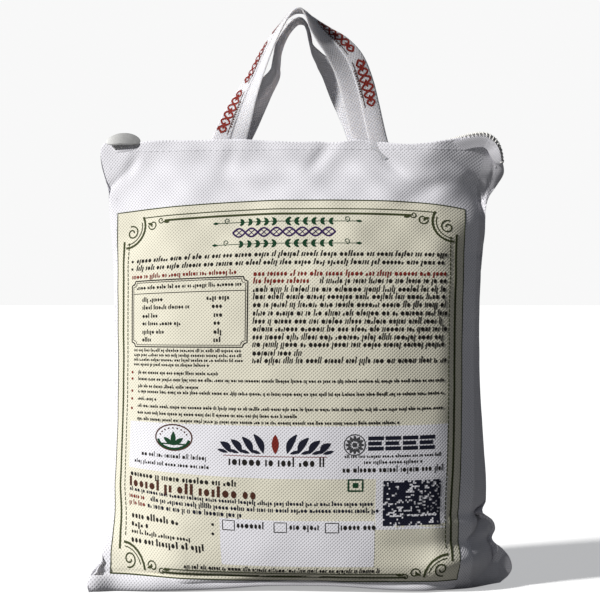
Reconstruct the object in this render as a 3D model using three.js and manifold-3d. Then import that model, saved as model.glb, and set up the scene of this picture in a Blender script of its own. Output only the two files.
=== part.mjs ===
// A zip-top fabric bag, filled with millet flour and standing on its base: a bag sewn from a front and
// a back panel, two carrying tapes sewn inside its top hem, and a coil zip with its slider and pull.
// Millimetres, +Z up. X runs across the bag and Y from its printed front (-Y) to its back. The origin is
// on the floor under the middle of the bag.
import * as THREE from "three";
import { mergeVertices } from "three/addons/utils/BufferGeometryUtils.js";
import Module from "manifold-3d";

const wasm = await Module();
wasm.setup();

// ---- Driving dimensions ----
const BAG_WIDTH = 182; // across the filled middle
const BAG_HEIGHT = 223; // from the floor to the top of the hem
const FRONT_DEPTH = 27; // from the seam plane to the fullest part of the front
const BACK_DEPTH = 26;
const CLEARANCE = 0.3; // between any two pieces

const TAPE_WIDTH = 17.5;
const TAPE_THICKNESS = 1.6;
const TAPE_PLANE = 4.5; // from the seam plane to the middle of each tape where it enters the hem
const TAPE_TUCK = 12; // how far each end of a tape reaches down inside the hem

const CHAIN_WIDTH = 4.6;
const CHAIN_HEIGHT = 2.6;
const GROOVE_WIDTH = 6; // between the two lips of the hem, above the zip
const GROOVE_REACH = 72; // how far the groove runs to each side

const SLIDER_LENGTH = 12;
const SLIDER_WIDTH = 8;
const SLIDER_PLATE = 1.4;
const BRIDGE_LENGTH = 9;
const BRIDGE_HEIGHT = 3.6;
const BRIDGE_WIDTH = 2.4;
const BRIDGE_WALL = 1.1;
const PULL_WIDTH = 6.4;
const PULL_THICKNESS = 1.1;

// ---- Fineness of the meshes ----
const COLUMNS = 38; // across one panel
const LEVELS = 46; // up the bag
const TAPE_STEPS = 56;
const CHAIN_STEPS = 48;
const PULL_STEPS = 16;

// ---- Materials ----
const materials = {
  fabric: new THREE.MeshStandardMaterial({ color: 0xe9e8ec, roughness: 0.9, metalness: 0 }),
  tape: new THREE.MeshStandardMaterial({ color: 0xeeeef2, roughness: 0.85, metalness: 0 }),
  coil: new THREE.MeshStandardMaterial({ color: 0xf0efea, roughness: 0.5, metalness: 0 }),
  metal: new THREE.MeshStandardMaterial({ color: 0xc4c4c2, roughness: 0.3, metalness: 1 }),
};

// ---- The bag's form ----
// Stations up the bag. left and right are how far each edge stands out past the filled middle, front and
// back are shares of the full depths, seamLeft and seamRight are where the side seams lie in Y, round is 1
// where the sides are full and round and 0 where they run out into a flat corner, and ear is how much of
// the right edge's stand-out is an empty fold.
const STATION_KEYS = ["height", "left", "right", "front", "back", "seamLeft", "seamRight", "round", "ear"];
const STATIONS = [
  [0, 8, 11, 0.5, 0.66, -26, 6, 0.15, 0.3],
  [3, 8.6, 15, 0.72, 0.8, -26, 7, 0.15, 0.35],
  [7, 8.2, 17, 0.85, 0.88, -24, 8, 0.15, 0.4],
  [13, 5.4, 15.8, 0.93, 0.94, -17, 8, 0.2, 0.4],
  [19, 4.2, 12, 0.96, 0.96, -11, 7.6, 0.34, 0.36],
  [24, 3.4, 7.4, 0.98, 0.98, -6, 7, 0.5, 0.3],
  [29, 3.3, 8.8, 0.99, 0.99, -2.6, 6.6, 0.62, 0.2],
  [33.5, 3.2, 7.4, 1, 1, 0, 6.3, 0.72, 0.14],
  [38, 3.2, 2.2, 1, 1, 2, 6, 0.8, 0.1],
  [43, 3, 4, 1, 1, 3, 6, 0.86, 0.05],
  [60, 2, 3.6, 1.02, 1.02, 4, 6, 1, 0],
  [105, 1.2, 1, 1, 1, 4, 6, 1, 0],
  [150, 1.4, 1.2, 0.87, 0.86, 3, 6, 1, 0],
  [180, 2.6, 3.8, 0.63, 0.62, 1, 8, 0.8, 0.2],
  [192, 3.6, 5, 0.49, 0.48, 0.4, 10, 0.6, 0.35],
  [200, 4.6, 9.8, 0.4, 0.38, 0, 11, 0.4, 0.45],
  [206, 5.8, 13, 0.35, 0.34, 0, 9, 0.3, 0.45],
  [212, 7.2, 12, 0.3, 0.3, 0, 6, 0.2, 0.4],
  [219, 7.6, 9.8, 0.28, 0.29, 0, 2, 0.3, 0.1],
  [223, 6, 4, 0.26, 0.27, 0, 0, 0.4, 0],
].map((row) => Object.fromEntries(row.map((value, i) => [STATION_KEYS[i], value])));

// Creases that run from a side seam into the faces. slope is how the crease climbs for each millimetre in
// from the seam, depth how deep it is there, spread how sharp it is, and reach how far in it fades out.
const CREASES = [
  { side: 1, height: 188.5, slope: 1.05, depth: 2.4, spread: 3.6, reach: 30 },
  { side: 1, height: 165, slope: 0.2, depth: 1.2, spread: 6, reach: 14 },
  { side: 1, height: 38.5, slope: -1.1, depth: 6, spread: 2.6, reach: 22 },
  { side: 1, height: 23.5, slope: -1.2, depth: 4.4, spread: 2.6, reach: 20 },
  { side: -1, height: 199, slope: 0.8, depth: 1.5, spread: 4, reach: 22 },
  { side: -1, height: 14, slope: -0.2, depth: 2.2, spread: 3, reach: 16 },
];

const CREASE_TURN = 0.15; // how much of the way out of the seam plane counts as way in from the seam

// The sewn edge along the foot of the front: it juts out most at the left corner, and a crease above it
// fades away towards the right.
const FOOT = {
  jut: 9,
  jutMiddle: -96,
  jutSpread: 36,
  jutTop: 10,
  creaseLeft: 9,
  creaseRight: 4,
  creaseDepth: 2.2,
  creaseSpread: 2.2,
  fadeFrom: 55,
  fadeTo: 88,
};

const CROWN = { left: 0.45, right: 0.6 }; // the share of a face's depth that is gone beside each edge
const LEFT_ROUNDING = 36; // run of the rounded edge on each side
const RIGHT_ROUNDING = 20;
const EAR_STRETCH = 1.7; // how much longer that run is for each millimetre that an edge stands out
const EAR_TIGHTEN = 2.3; // how much of that stretch an empty fold takes back
const EAR_THICKNESS = 1.3; // half the thickness of an empty fold
const EAR_LIP = 4; // how far in from its edge it has that thickness
const EAR = { lift: 2.6, from: 84, run: 24, top: 30 }; // how the right corner's tip curls up off the floor
const HEM = { from: 185, run: 30 }; // the heights over which the waves of the hem set in
const HEM_WAVES = [
  { middle: -86, rise: -1.6, spread: 12 },
  { middle: -52, rise: -0.8, spread: 22 },
  { middle: 2, rise: -2.2, spread: 24 },
  { middle: 21, rise: -1.2, spread: 7 },
  { middle: 57, rise: -3.6, spread: 20 },
  { middle: 95, rise: 2.2, spread: 11 },
];

const mix = (a, b, t) => a + (b - a) * t;
const clamp = (t) => Math.min(1, Math.max(0, t));
const smooth = (t) => clamp(t) ** 2 * (3 - 2 * clamp(t));
const bell = (x, middle, spread) => Math.exp(-(((x - middle) / spread) ** 2));

// The value of a station's key at a height, on a smooth curve through the stations.
function station(key, height) {
  const last = STATIONS.length - 1;
  const found = STATIONS.findIndex((s) => s.height >= height);
  const i = found < 0 ? last - 1 : Math.max(0, found - 1);
  const slopeAt = (k) => {
    const before = STATIONS[Math.max(0, k - 1)];
    const after = STATIONS[Math.min(last, k + 1)];
    return (after[key] - before[key]) / (after.height - before.height);
  };
  const [from, to] = [STATIONS[i], STATIONS[i + 1]];
  const run = to.height - from.height;
  const t = clamp((height - from.height) / run);
  const leaving = t * (1 - t) ** 2 * run * slopeAt(i);
  const arriving = t * t * (t - 1) * run * slopeAt(i + 1);
  return mix(from[key], to[key], smooth(t)) + leaving + arriving;
}

// How full the bag is at a share of the way in from a seam.
function fullness(share, round) {
  const t = clamp(share);
  return mix(smooth(t), Math.sqrt(1 - (1 - t) ** 2), clamp(round));
}

// The bag's outline at a height as it is before its creases: side is -1 on the front and 1 on the back,
// and across runs from -1 at the left seam to 1 at the right seam.
function plainPoint(side, across, height) {
  const left = BAG_WIDTH / 2 + station("left", height);
  const standOut = station("right", height);
  const right = BAG_WIDTH / 2 + standOut;
  const round = station("round", height);
  const ear = clamp(station("ear", height));
  const x = mix(-left, right, (Math.sin((across * Math.PI) / 2) + 1) / 2);
  const fromLeft = (x + left) / (LEFT_ROUNDING + EAR_STRETCH * station("left", height));
  const rightRun = RIGHT_ROUNDING + (EAR_STRETCH - EAR_TIGHTEN * ear) * standOut;
  const fromRight = (right - x - ear * standOut) / rightRun;
  const offMiddle = x < 0 ? x / left : x / right;
  const crown = (x < 0 ? CROWN.left : CROWN.right) * offMiddle ** 2;
  const full = fullness(fromLeft, round) * fullness(fromRight, round) * (1 - crown);
  const empty = EAR_THICKNESS * ear * fullness((right - x) / EAR_LIP, 1) * (1 - full);
  const seam = x < 0 ? station("seamLeft", height) : station("seamRight", height);
  const jut = FOOT.jut * bell(x, FOOT.jutMiddle, FOOT.jutSpread) * (1 - smooth(height / FOOT.jutTop));
  const front = FRONT_DEPTH * station("front", height) + jut;
  const depth = side < 0 ? front : BACK_DEPTH * station("back", height);
  return new THREE.Vector2(x, seam * Math.abs(offMiddle) ** 3 + side * (depth * full + empty));
}

// How deep the creases are at a point of the outline.
function creaseDepth(side, point, height) {
  let deep = 0;
  for (const crease of CREASES) {
    const edge = BAG_WIDTH / 2 + station(crease.side < 0 ? "left" : "right", height);
    const offEdge = Math.max(0, edge - crease.side * point.x);
    const inFromSeam = offEdge + Math.abs(point.y) * CREASE_TURN;
    const off = Math.abs(height - crease.height - crease.slope * inFromSeam);
    deep += crease.depth * Math.exp(-off / crease.spread) * (1 - smooth(inFromSeam / crease.reach));
  }
  if (side < 0) {
    const level = mix(FOOT.creaseLeft, FOOT.creaseRight, clamp((point.x + BAG_WIDTH / 2) / BAG_WIDTH));
    const fade = 1 - smooth((point.x - FOOT.fadeFrom) / (FOOT.fadeTo - FOOT.fadeFrom));
    deep += FOOT.creaseDepth * Math.exp(-Math.abs(height - level) / FOOT.creaseSpread) * fade;
  }
  return deep;
}

function bagPoint(side, across, height) {
  const point = plainPoint(side, across, height);
  const step = 0.01;
  const ahead = plainPoint(side, Math.min(1, across + step), height);
  const behind = plainPoint(side, Math.max(-1, across - step), height);
  const along = ahead.sub(behind).normalize();
  const outward = new THREE.Vector2(side < 0 ? along.y : -along.y, side < 0 ? -along.x : along.x);
  if (Math.abs(across) === 1) outward.set(across, 0);
  const deep = creaseDepth(side, point, height);
  const lift = EAR.lift * smooth((point.x - EAR.from) / EAR.run) * (1 - smooth(height / EAR.top));
  const waves = HEM_WAVES.reduce((sum, w) => sum + w.rise * bell(point.x, w.middle, w.spread), 0);
  const rise = waves * smooth((height - HEM.from) / HEM.run);
  return new THREE.Vector3(point.x - outward.x * deep, point.y - outward.y * deep, height + lift + rise);
}

// Levels lie closer together near the floor and the hem.
function levelHeight(share) {
  const eased = (1 - Math.cos(Math.PI * share)) / 2;
  return BAG_HEIGHT * mix(share, eased, 0.7);
}

function bagForm() {
  const form = new THREE.CylinderGeometry(1, 1, 1, 2 * COLUMNS, LEVELS);
  const position = form.getAttribute("position");
  for (let i = 0; i < position.count; i++) {
    const x = position.getX(i);
    const z = position.getZ(i);
    const height = levelHeight(position.getY(i) + 0.5);
    if (Math.hypot(x, z) < 0.5) {
      position.setXYZ(i, 0, 0, height);
      continue;
    }
    // The cylinder's angle, measured from the left seam: the front is the first half turn.
    const turn = (Math.atan2(z, -x) / Math.PI + 2) % 2;
    const onFront = turn <= 1.000001;
    const across = onFront ? 2 * turn - 1 : 3 - 2 * turn;
    const onSeam = Math.abs(across) > 0.999999;
    const point = bagPoint(onFront ? -1 : 1, onSeam ? Math.sign(across) : across, height);
    position.setXYZ(i, point.x, point.y, point.z);
  }
  return form;
}

// ---- Solids and booleans ----
function solidFrom(geometry) {
  const bare = geometry.clone();
  bare.deleteAttribute("normal");
  bare.deleteAttribute("uv");
  const merged = mergeVertices(bare, 1e-4);
  const mesh = new wasm.Mesh({
    numProp: 3,
    vertProperties: new Float32Array(merged.getAttribute("position").array),
    triVerts: new Uint32Array(merged.index.array),
  });
  return new wasm.Manifold(mesh);
}

function geometryFrom(solid) {
  const mesh = solid.getMesh();
  const geometry = new THREE.BufferGeometry();
  geometry.setAttribute("position", new THREE.BufferAttribute(mesh.vertProperties, 3));
  geometry.setIndex(new THREE.BufferAttribute(mesh.triVerts, 1));
  geometry.computeVertexNormals();
  return geometry;
}

function addMesh(parent, name, geometry, material) {
  const mesh = new THREE.Mesh(geometry, material);
  mesh.name = name;
  parent.add(mesh);
}

// ---- Strips bent along a path ----
// A path is a smooth curve through stations { x, y, z, tilt }. The strip's width lies in the XZ plane
// where tilt is 0 and along Y where it is 90 degrees, and a positive tilt takes its outer edge to +Y.
function stripAlong(path, width, thickness, steps) {
  const line = new THREE.CatmullRomCurve3(path.map(({ x, y, z }) => new THREE.Vector3(x, y, z)));
  const tilts = new THREE.CatmullRomCurve3(path.map(({ x, z, tilt }) => new THREE.Vector3(x, tilt, z)));
  const strip = new THREE.BoxGeometry(width, thickness, 1, 1, 1, steps);
  const position = strip.getAttribute("position");
  for (let i = 0; i < position.count; i++) {
    const t = position.getZ(i) + 0.5;
    const centre = line.getPoint(t);
    const tangent = line.getTangent(t);
    const tilt = THREE.MathUtils.degToRad(tilts.getPoint(t).y);
    const across = new THREE.Vector3(-tangent.z, 0, tangent.x).normalize().multiplyScalar(Math.cos(tilt));
    across.y += Math.sin(tilt);
    across.addScaledVector(tangent, -across.dot(tangent)).normalize();
    const through = new THREE.Vector3().crossVectors(tangent, across);
    const point = centre.addScaledVector(across, position.getX(i)).addScaledVector(through, position.getY(i));
    position.setXYZ(i, point.x, point.y, point.z);
  }
  return strip;
}

// ---- Carrying tapes ----
const ROOT = BAG_HEIGHT - TAPE_TUCK;
const FRONT_TAPE = [
  { x: -36.2, y: -TAPE_PLANE, z: ROOT, tilt: 0 },
  { x: -32.6, y: -TAPE_PLANE, z: BAG_HEIGHT, tilt: 5 },
  { x: -25.6, y: -4.8, z: 241, tilt: 38 },
  { x: -19.8, y: -5.2, z: 253.5, tilt: 56 },
  { x: -14.6, y: -5.6, z: 265, tilt: 64 },
  { x: -10, y: -6, z: 273.6, tilt: 70 },
  { x: -4.6, y: -6, z: 281.6, tilt: 78 },
  { x: -0.2, y: -5.8, z: 286, tilt: 84 },
  { x: 4, y: -5.6, z: 286.6, tilt: 88 },
  { x: 7.8, y: -5.4, z: 283.2, tilt: 80 },
  { x: 11.2, y: -5.2, z: 278.8, tilt: 66 },
  { x: 15.8, y: -5, z: 274, tilt: 52 },
  { x: 21.4, y: -5, z: 268.6, tilt: 36 },
  { x: 27, y: -5, z: 260.6, tilt: 18 },
  { x: 30.8, y: -4.8, z: 250.4, tilt: 8 },
  { x: 33.4, y: -4.6, z: 240, tilt: 3 },
  { x: 37.2, y: -TAPE_PLANE, z: BAG_HEIGHT, tilt: 0 },
  { x: 40.4, y: -TAPE_PLANE, z: ROOT, tilt: 0 },
];
const BACK_TAPE = [
  { x: -35.2, y: TAPE_PLANE, z: ROOT, tilt: 0 },
  { x: -32.4, y: TAPE_PLANE, z: BAG_HEIGHT, tilt: -4 },
  { x: -24.6, y: 5.4, z: 237, tilt: -36 },
  { x: -17.2, y: 6.4, z: 248, tilt: -62 },
  { x: -11, y: 7.4, z: 256.5, tilt: -80 },
  { x: -10, y: 8.6, z: 263, tilt: -86 },
  { x: -9, y: 11.6, z: 271, tilt: -88 },
  { x: -5.6, y: 12.6, z: 279, tilt: -89 },
  { x: -0.6, y: 12.8, z: 284.4, tilt: -90 },
  { x: 3.4, y: 12.8, z: 284, tilt: -90 },
  { x: 5.8, y: 12.2, z: 278.5, tilt: -90 },
  { x: 7.6, y: 9.8, z: 270, tilt: -86 },
  { x: 11.4, y: 7.6, z: 264, tilt: -74 },
  { x: 17.8, y: 6.2, z: 256.5, tilt: -54 },
  { x: 24.8, y: 5.4, z: 246, tilt: -28 },
  { x: 31.2, y: 4.8, z: 234, tilt: -10 },
  { x: 35, y: TAPE_PLANE, z: BAG_HEIGHT, tilt: 0 },
  { x: 37, y: TAPE_PLANE, z: ROOT, tilt: 0 },
];

// ---- Zip ----
// The chain lies between the hems and, past the groove, rises and curls over the right corner.
const CHAIN_LEVEL = BAG_HEIGHT - 4.2;
const CHAIN = [
  { x: -92, y: 0, rise: 1 },
  { x: -80, y: 0, rise: 1.2 },
  { x: -60, y: 0, rise: 0.4 },
  { x: 0, y: 0, rise: -1.4 },
  { x: 46, y: 0, rise: -1.6 },
  { x: 66, y: 0, rise: 0.4 },
  { x: 78, y: 0.3, rise: 3.4 },
  { x: 88, y: 0.8, rise: 6 },
  { x: 94.4, y: 1.4, rise: 6.2 },
  { x: 99, y: 2.2, rise: 3.6 },
  { x: 101.6, y: 3.2, rise: -1 },
  { x: 102.8, y: 5.2, rise: -7.6 },
].map(({ x, y, rise }) => ({ x, y, z: CHAIN_LEVEL + rise, tilt: 90 }));
const GROOVE = [-GROOVE_REACH, 0, GROOVE_REACH].map((x) => ({ x, y: 0, z: BAG_HEIGHT + 1, tilt: 90 }));
const GROOVE_DEPTH = 2 * (BAG_HEIGHT + 1 - CHAIN_LEVEL);

const SLIDER_MIDDLE = -85.4;
const SLIDER_FLOOR = CHAIN_LEVEL + 1.1 + CHAIN_HEIGHT / 2 + CLEARANCE; // the underside of its upper plate
const BRIDGE_TOP = SLIDER_FLOOR + SLIDER_PLATE + BRIDGE_HEIGHT;

// The pull is folded back over the bridge as a domed tab, from the slider's mouth down to the corner.
const PULL = [
  { x: SLIDER_MIDDLE + 6.8, drop: 3.6 },
  { x: SLIDER_MIDDLE + 5.4, drop: 0.8 },
  { x: SLIDER_MIDDLE + 2, drop: -0.9 },
  { x: SLIDER_MIDDLE - 2, drop: -1.2 },
  { x: SLIDER_MIDDLE - 6, drop: 0.6 },
  { x: SLIDER_MIDDLE - 9.2, drop: 3.3 },
].map(({ x, drop }) => ({ x, y: 0, z: BRIDGE_TOP - drop, tilt: 90 }));

// A plate that is narrow at its closed end and wide at the end where the chain parts.
function sliderPlate() {
  const half = SLIDER_WIDTH / 2;
  const nose = 0.6 * half;
  const shape = new THREE.Shape();
  const mouth = SLIDER_LENGTH / 2 - half;
  shape.moveTo(-SLIDER_LENGTH / 2, -nose);
  shape.quadraticCurveTo(-half, -half, mouth, -half);
  shape.absarc(mouth, 0, half, -Math.PI / 2, Math.PI / 2, false);
  shape.quadraticCurveTo(-half, half, -SLIDER_LENGTH / 2, nose);
  const settings = { depth: SLIDER_PLATE, bevelEnabled: false, curveSegments: 8 };
  const plate = new THREE.ExtrudeGeometry(shape, settings);
  return plate.translate(SLIDER_MIDDLE, 0, SLIDER_FLOOR);
}

// An arched strap with both feet in the plate, open underneath for the pull.
function bridge() {
  const foot = -SLIDER_PLATE / 2;
  const rise = BRIDGE_HEIGHT - foot;
  const shape = new THREE.Shape();
  shape.absellipse(0, foot, BRIDGE_LENGTH / 2, rise, Math.PI, 0, true);
  shape.absellipse(0, foot, BRIDGE_LENGTH / 2 - BRIDGE_WALL, rise - BRIDGE_WALL, 0, Math.PI, false);
  const settings = { depth: BRIDGE_WIDTH, bevelEnabled: false, curveSegments: 12 };
  const strap = new THREE.ExtrudeGeometry(shape, settings);
  strap.rotateX(Math.PI / 2);
  return strap.translate(SLIDER_MIDDLE, BRIDGE_WIDTH / 2, SLIDER_FLOOR + SLIDER_PLATE);
}

// ---- The whole ----
const grown = (size) => size + 2 * CLEARANCE;
const seat = new THREE.BoxGeometry(grown(SLIDER_LENGTH), grown(SLIDER_WIDTH), BRIDGE_HEIGHT);
seat.translate(SLIDER_MIDDLE, 0, SLIDER_FLOOR - CLEARANCE + BRIDGE_HEIGHT / 2);
const slider = solidFrom(sliderPlate()).add(solidFrom(bridge()));
const cutters = [
  seat,
  stripAlong(GROOVE, GROOVE_WIDTH, GROOVE_DEPTH, 1),
  stripAlong(CHAIN, grown(CHAIN_WIDTH), grown(CHAIN_HEIGHT), CHAIN_STEPS),
  stripAlong(FRONT_TAPE, grown(TAPE_WIDTH), grown(TAPE_THICKNESS), TAPE_STEPS),
  stripAlong(BACK_TAPE, grown(TAPE_WIDTH), grown(TAPE_THICKNESS), TAPE_STEPS),
];
const bag = cutters.reduce((solid, cutter) => solid.subtract(solidFrom(cutter)), solidFrom(bagForm()));

const group = new THREE.Group();
addMesh(group, "bag", geometryFrom(bag), materials.fabric);
const tape = (path) => stripAlong(path, TAPE_WIDTH, TAPE_THICKNESS, TAPE_STEPS);
addMesh(group, "handle_front", tape(FRONT_TAPE), materials.tape);
addMesh(group, "handle_back", tape(BACK_TAPE), materials.tape);
addMesh(group, "zip_chain", stripAlong(CHAIN, CHAIN_WIDTH, CHAIN_HEIGHT, CHAIN_STEPS), materials.coil);
addMesh(group, "zip_slider", geometryFrom(slider), materials.metal);
addMesh(group, "zip_pull", stripAlong(PULL, PULL_WIDTH, PULL_THICKNESS, PULL_STEPS), materials.metal);

export default group;
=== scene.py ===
"""A zip-top fabric bag of millet flour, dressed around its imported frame.

The bag is a pillow of white embossed non-woven fabric with a printed cream field on its front, two
folded carrying tapes sewn into its hem, and a coil zip. The form is worked out in millimetres, with +Z
up and the printed front facing -Y, and every mesh is in metres.
"""
import math
import random
from functools import partial

import bmesh
import bpy
import numpy as np
from mathutils import Euler, Matrix, Vector


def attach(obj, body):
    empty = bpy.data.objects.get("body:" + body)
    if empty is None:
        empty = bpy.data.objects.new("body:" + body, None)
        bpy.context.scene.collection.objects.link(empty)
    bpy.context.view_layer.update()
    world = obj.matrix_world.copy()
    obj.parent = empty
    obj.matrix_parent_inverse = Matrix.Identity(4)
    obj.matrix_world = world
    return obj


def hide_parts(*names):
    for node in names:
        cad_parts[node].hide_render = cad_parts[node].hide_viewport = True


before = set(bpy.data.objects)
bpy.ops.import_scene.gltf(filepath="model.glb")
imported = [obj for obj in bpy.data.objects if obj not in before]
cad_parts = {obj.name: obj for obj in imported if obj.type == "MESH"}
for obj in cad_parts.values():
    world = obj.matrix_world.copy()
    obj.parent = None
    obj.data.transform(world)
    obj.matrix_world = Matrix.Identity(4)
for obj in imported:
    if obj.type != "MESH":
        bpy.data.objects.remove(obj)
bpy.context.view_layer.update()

bl_info = {
    "name": "Flour Bag",
    "version": (1, 0, 0),
    "blender": (4, 5, 0),
    "location": "3D View > Sidebar > Flour Bag",
    "description": "Makes a zip-top fabric bag of millet flour with its print, carrying tapes and zip",
    "category": "Add Mesh",
}

MM = 0.001


# ---- Settings ----
class BagColours(bpy.types.PropertyGroup):
    """Colours of the fabric and of its inks."""

    fabric: bpy.props.FloatVectorProperty(
        name="Fabric", description="The bag's white fabric", subtype="COLOR", default=(0.79, 0.782, 0.825))
    cream: bpy.props.FloatVectorProperty(
        name="Cream", description="The printed field on the front", subtype="COLOR",
        default=(0.74, 0.71, 0.58))
    # The tapes are the bag's white cloth, darkened as painted shade.
    tape: bpy.props.FloatVectorProperty(
        name="Tape", description="The carrying tapes", subtype="COLOR", default=(0.66, 0.652, 0.68))
    coil: bpy.props.FloatVectorProperty(
        name="Coil", description="The zip's nylon coil", subtype="COLOR", default=(0.8, 0.79, 0.76))
    metal: bpy.props.FloatVectorProperty(
        name="Slider", description="The zip's slider and pull", subtype="COLOR", default=(0.52, 0.52, 0.51))


class StageLook(bpy.types.PropertyGroup):
    """Camera and lights."""

    distance: bpy.props.FloatProperty(
        name="Camera distance", description="From the middle of the bag", default=0.8, unit="LENGTH")
    azimuth: bpy.props.FloatProperty(
        name="Camera azimuth", description="How far the camera stands round to the bag's right",
        default=math.radians(5), subtype="ANGLE")
    floor: bpy.props.FloatVectorProperty(
        name="Floor", description="Colour of the floor", subtype="COLOR", default=(0.9, 0.9, 0.9))
    floor_lift: bpy.props.FloatProperty(
        name="Floor lift", description="How much brighter the floor looks than its own shade", default=0.45)
    floor_bounce: bpy.props.FloatProperty(
        name="Floor bounce", description="Share of the floor's colour that it throws back", default=0.25)
    backdrop: bpy.props.FloatVectorProperty(
        name="Backdrop", description="Colour behind the bag", subtype="COLOR", default=(0.94, 0.94, 0.94))
    key: bpy.props.FloatProperty(name="Key", description="Strength of the key light", default=4.6)
    key_azimuth: bpy.props.FloatProperty(
        name="Key azimuth", description="How far the key light stands round to the bag's right",
        default=math.radians(-57), subtype="ANGLE")
    key_elevation: bpy.props.FloatProperty(
        name="Key elevation", description="How high the key light stands",
        default=math.radians(29), subtype="ANGLE")
    key_softness: bpy.props.FloatProperty(
        name="Key softness", description="How wide the key light looks from the bag",
        default=math.radians(5), subtype="ANGLE")
    fill: bpy.props.FloatProperty(
        name="Fill", description="Strength of the light from all round", default=0.085)


# ---- The bag's form, in millimetres ----
FRONT, BACK = -1, 1
BAG_WIDTH = 182
BAG_HEIGHT = 223
FRONT_DEPTH = 27
BACK_DEPTH = 26

# Stations up the bag. left and right are how far each edge stands out past the filled middle, front and
# back are shares of the full depths, seam_left and seam_right are where the side seams lie in Y,
# round is 1 where the sides are full and round and 0 where they run out into a flat corner, ear is how
# much of the right edge's stand-out is an empty, flat fold of cloth.
STATION_KEYS = ("height", "left", "right", "front", "back", "seam_left", "seam_right", "round", "ear")
STATIONS = (
    (0, 8, 11, 0.5, 0.66, -26, 6, 0.15, 0.3),
    (3, 8.6, 15, 0.72, 0.8, -26, 7, 0.15, 0.35),
    (7, 8.2, 17, 0.85, 0.88, -24, 8, 0.15, 0.4),
    (13, 5.4, 15.8, 0.93, 0.94, -17, 8, 0.2, 0.4),
    (19, 4.2, 12, 0.96, 0.96, -11, 7.6, 0.34, 0.36),
    (24, 3.4, 7.4, 0.98, 0.98, -6, 7, 0.5, 0.3),
    (29, 3.3, 8.8, 0.99, 0.99, -2.6, 6.6, 0.62, 0.2),
    (33.5, 3.2, 7.4, 1, 1, 0, 6.3, 0.72, 0.14),
    (38, 3.2, 2.2, 1, 1, 2, 6, 0.8, 0.1),
    (43, 3, 4, 1, 1, 3, 6, 0.86, 0.05),
    (60, 2, 3.6, 1.02, 1.02, 4, 6, 1, 0),
    (105, 1.2, 1, 1, 1, 4, 6, 1, 0),
    (150, 1.4, 1.2, 0.87, 0.86, 3, 6, 1, 0),
    (180, 2.6, 3.8, 0.63, 0.62, 1, 8, 0.8, 0.2),
    (192, 3.6, 5, 0.49, 0.48, 0.4, 10, 0.6, 0.35),
    (200, 4.6, 9.8, 0.4, 0.38, 0, 11, 0.4, 0.45),
    (206, 5.8, 13, 0.35, 0.34, 0, 9, 0.3, 0.45),
    (212, 7.2, 12, 0.3, 0.3, 0, 6, 0.2, 0.4),
    (219, 7.6, 9.8, 0.28, 0.29, 0, 2, 0.3, 0.1),
    (223, 6, 4, 0.26, 0.27, 0, 0, 0.4, 0),
)
STATION_TABLE = {key: np.array(column, float) for key, column in zip(STATION_KEYS, zip(*STATIONS))}

# Creases from a side seam into the faces: side, height at the seam, climb for each millimetre in from
# the seam, depth, spread, and how far in it fades out.
CREASES = (
    (1, 188.5, 1.05, 2.4, 3.6, 30),
    (1, 165, 0.2, 1.2, 6, 14),
    (1, 38.5, -1.1, 6, 2.6, 22),
    (1, 23.5, -1.2, 4.4, 2.6, 20),
    (-1, 199, 0.8, 1.5, 4, 22),
    (-1, 14, -0.2, 2.2, 3, 16),
)
CREASE_TURN = 0.15
# How far the front's lower left corner juts out: depth, middle, spread and top.
FOOT_JUT = (9, -96, 36, 10)
# The crease over the front's foot: heights at the left and the right edge, depth, spread, and from where
# to where in X it fades.
FOOT_CREASE = (9, 4, 2.2, 2.2, 55, 88)
# How far the front's lower edge arches up off the floor: rise, middle, spread and top.
FOOT_ARCH = (4.4, 4, 42, 14)
# The share of a face's depth that is gone beside its left and its right edge.
CROWN = (0.45, 0.6)
# How far in from the left and the right edge the faces are rounded.
LEFT_ROUNDING, RIGHT_ROUNDING = 36, 20
# The empty fold of cloth at the right edge: how it widens the rounding and tightens it again, its thickness
# and the width of its rounded lip.
EAR_STRETCH, EAR_TIGHTEN = 1.7, 2.3
EAR_THICKNESS, EAR_LIP = 1.3, 4
# How far the lower right corner lies off the floor: rise, where it starts, its run, and top.
EAR_LIFT = (2.6, 84, 24, 30)
# Where the waves of the hem start, and over what run they grow.
HEM_FROM, HEM_RUN = 185, 30
# The waves along the top of the hem: middle, rise and spread.
HEM_WAVES = ((-86, -1.6, 12), (-52, -0.8, 22), (2, -2.2, 24), (21, -1.2, 7), (57, -3.6, 20), (95, 2.2, 11))

# Dents pressed into the front: x, height, depth, half length, half width, and the angle of their length
# from level, in degrees. A negative depth stands out.
FRONT_DENTS = (
    (80, 12.5, -6.2, 15, 8.5, 8),
    (-32, 214, 0.8, 9, 4, 70),
    (13, 216, 1.2, 9, 3.5, 55),
    (47, 214, 1.3, 13, 3.2, -42),
    (36, 206, -0.7, 16, 4, -30),
    (-82, 212, 0.9, 7, 3, 60),
    (-20, 205, -0.6, 22, 5, 8),
    (70, 200, 0.7, 16, 5, 30),
)
BACK_DENTS = (
    (30, 213, 1.0, 9, 4, 65),
    (-24, 214, 1.1, 10, 4, -50),
    (-62, 208, 0.8, 14, 5, 35),
    (66, 206, 0.9, 15, 5, -30),
)
# Soft unevenness of the filling under the fabric: amplitude, waves per metre along X and Z, and phase.
LUMPS = (
    (0.22, 14, 9, 0.4),
    (0.16, -21, 13, 2.1),
    (0.12, 33, 24, 4.4),
    (0.08, 41, -37, 1.3),
    (0.05, 63, 52, 5.2),
)
# How slack the fabric is below, how much more so above, and from what height on, over what run.
SLACK = (0.6, 1.2, 130, 60)
# Over what height the dents and the lumps grow from the floor up.
RELIEF_RUN = 20
# The step across a face that gives its way out, and from where on a point lies on the seam.
ACROSS_STEP, AT_SEAM = 0.01, 0.999999
TINY = 1e-9


def smooth(t):
    """0 up to 0, 1 from 1 on, and an even climb between."""
    t = np.clip(t, 0, 1)
    return t * t * (3 - 2 * t)


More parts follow.
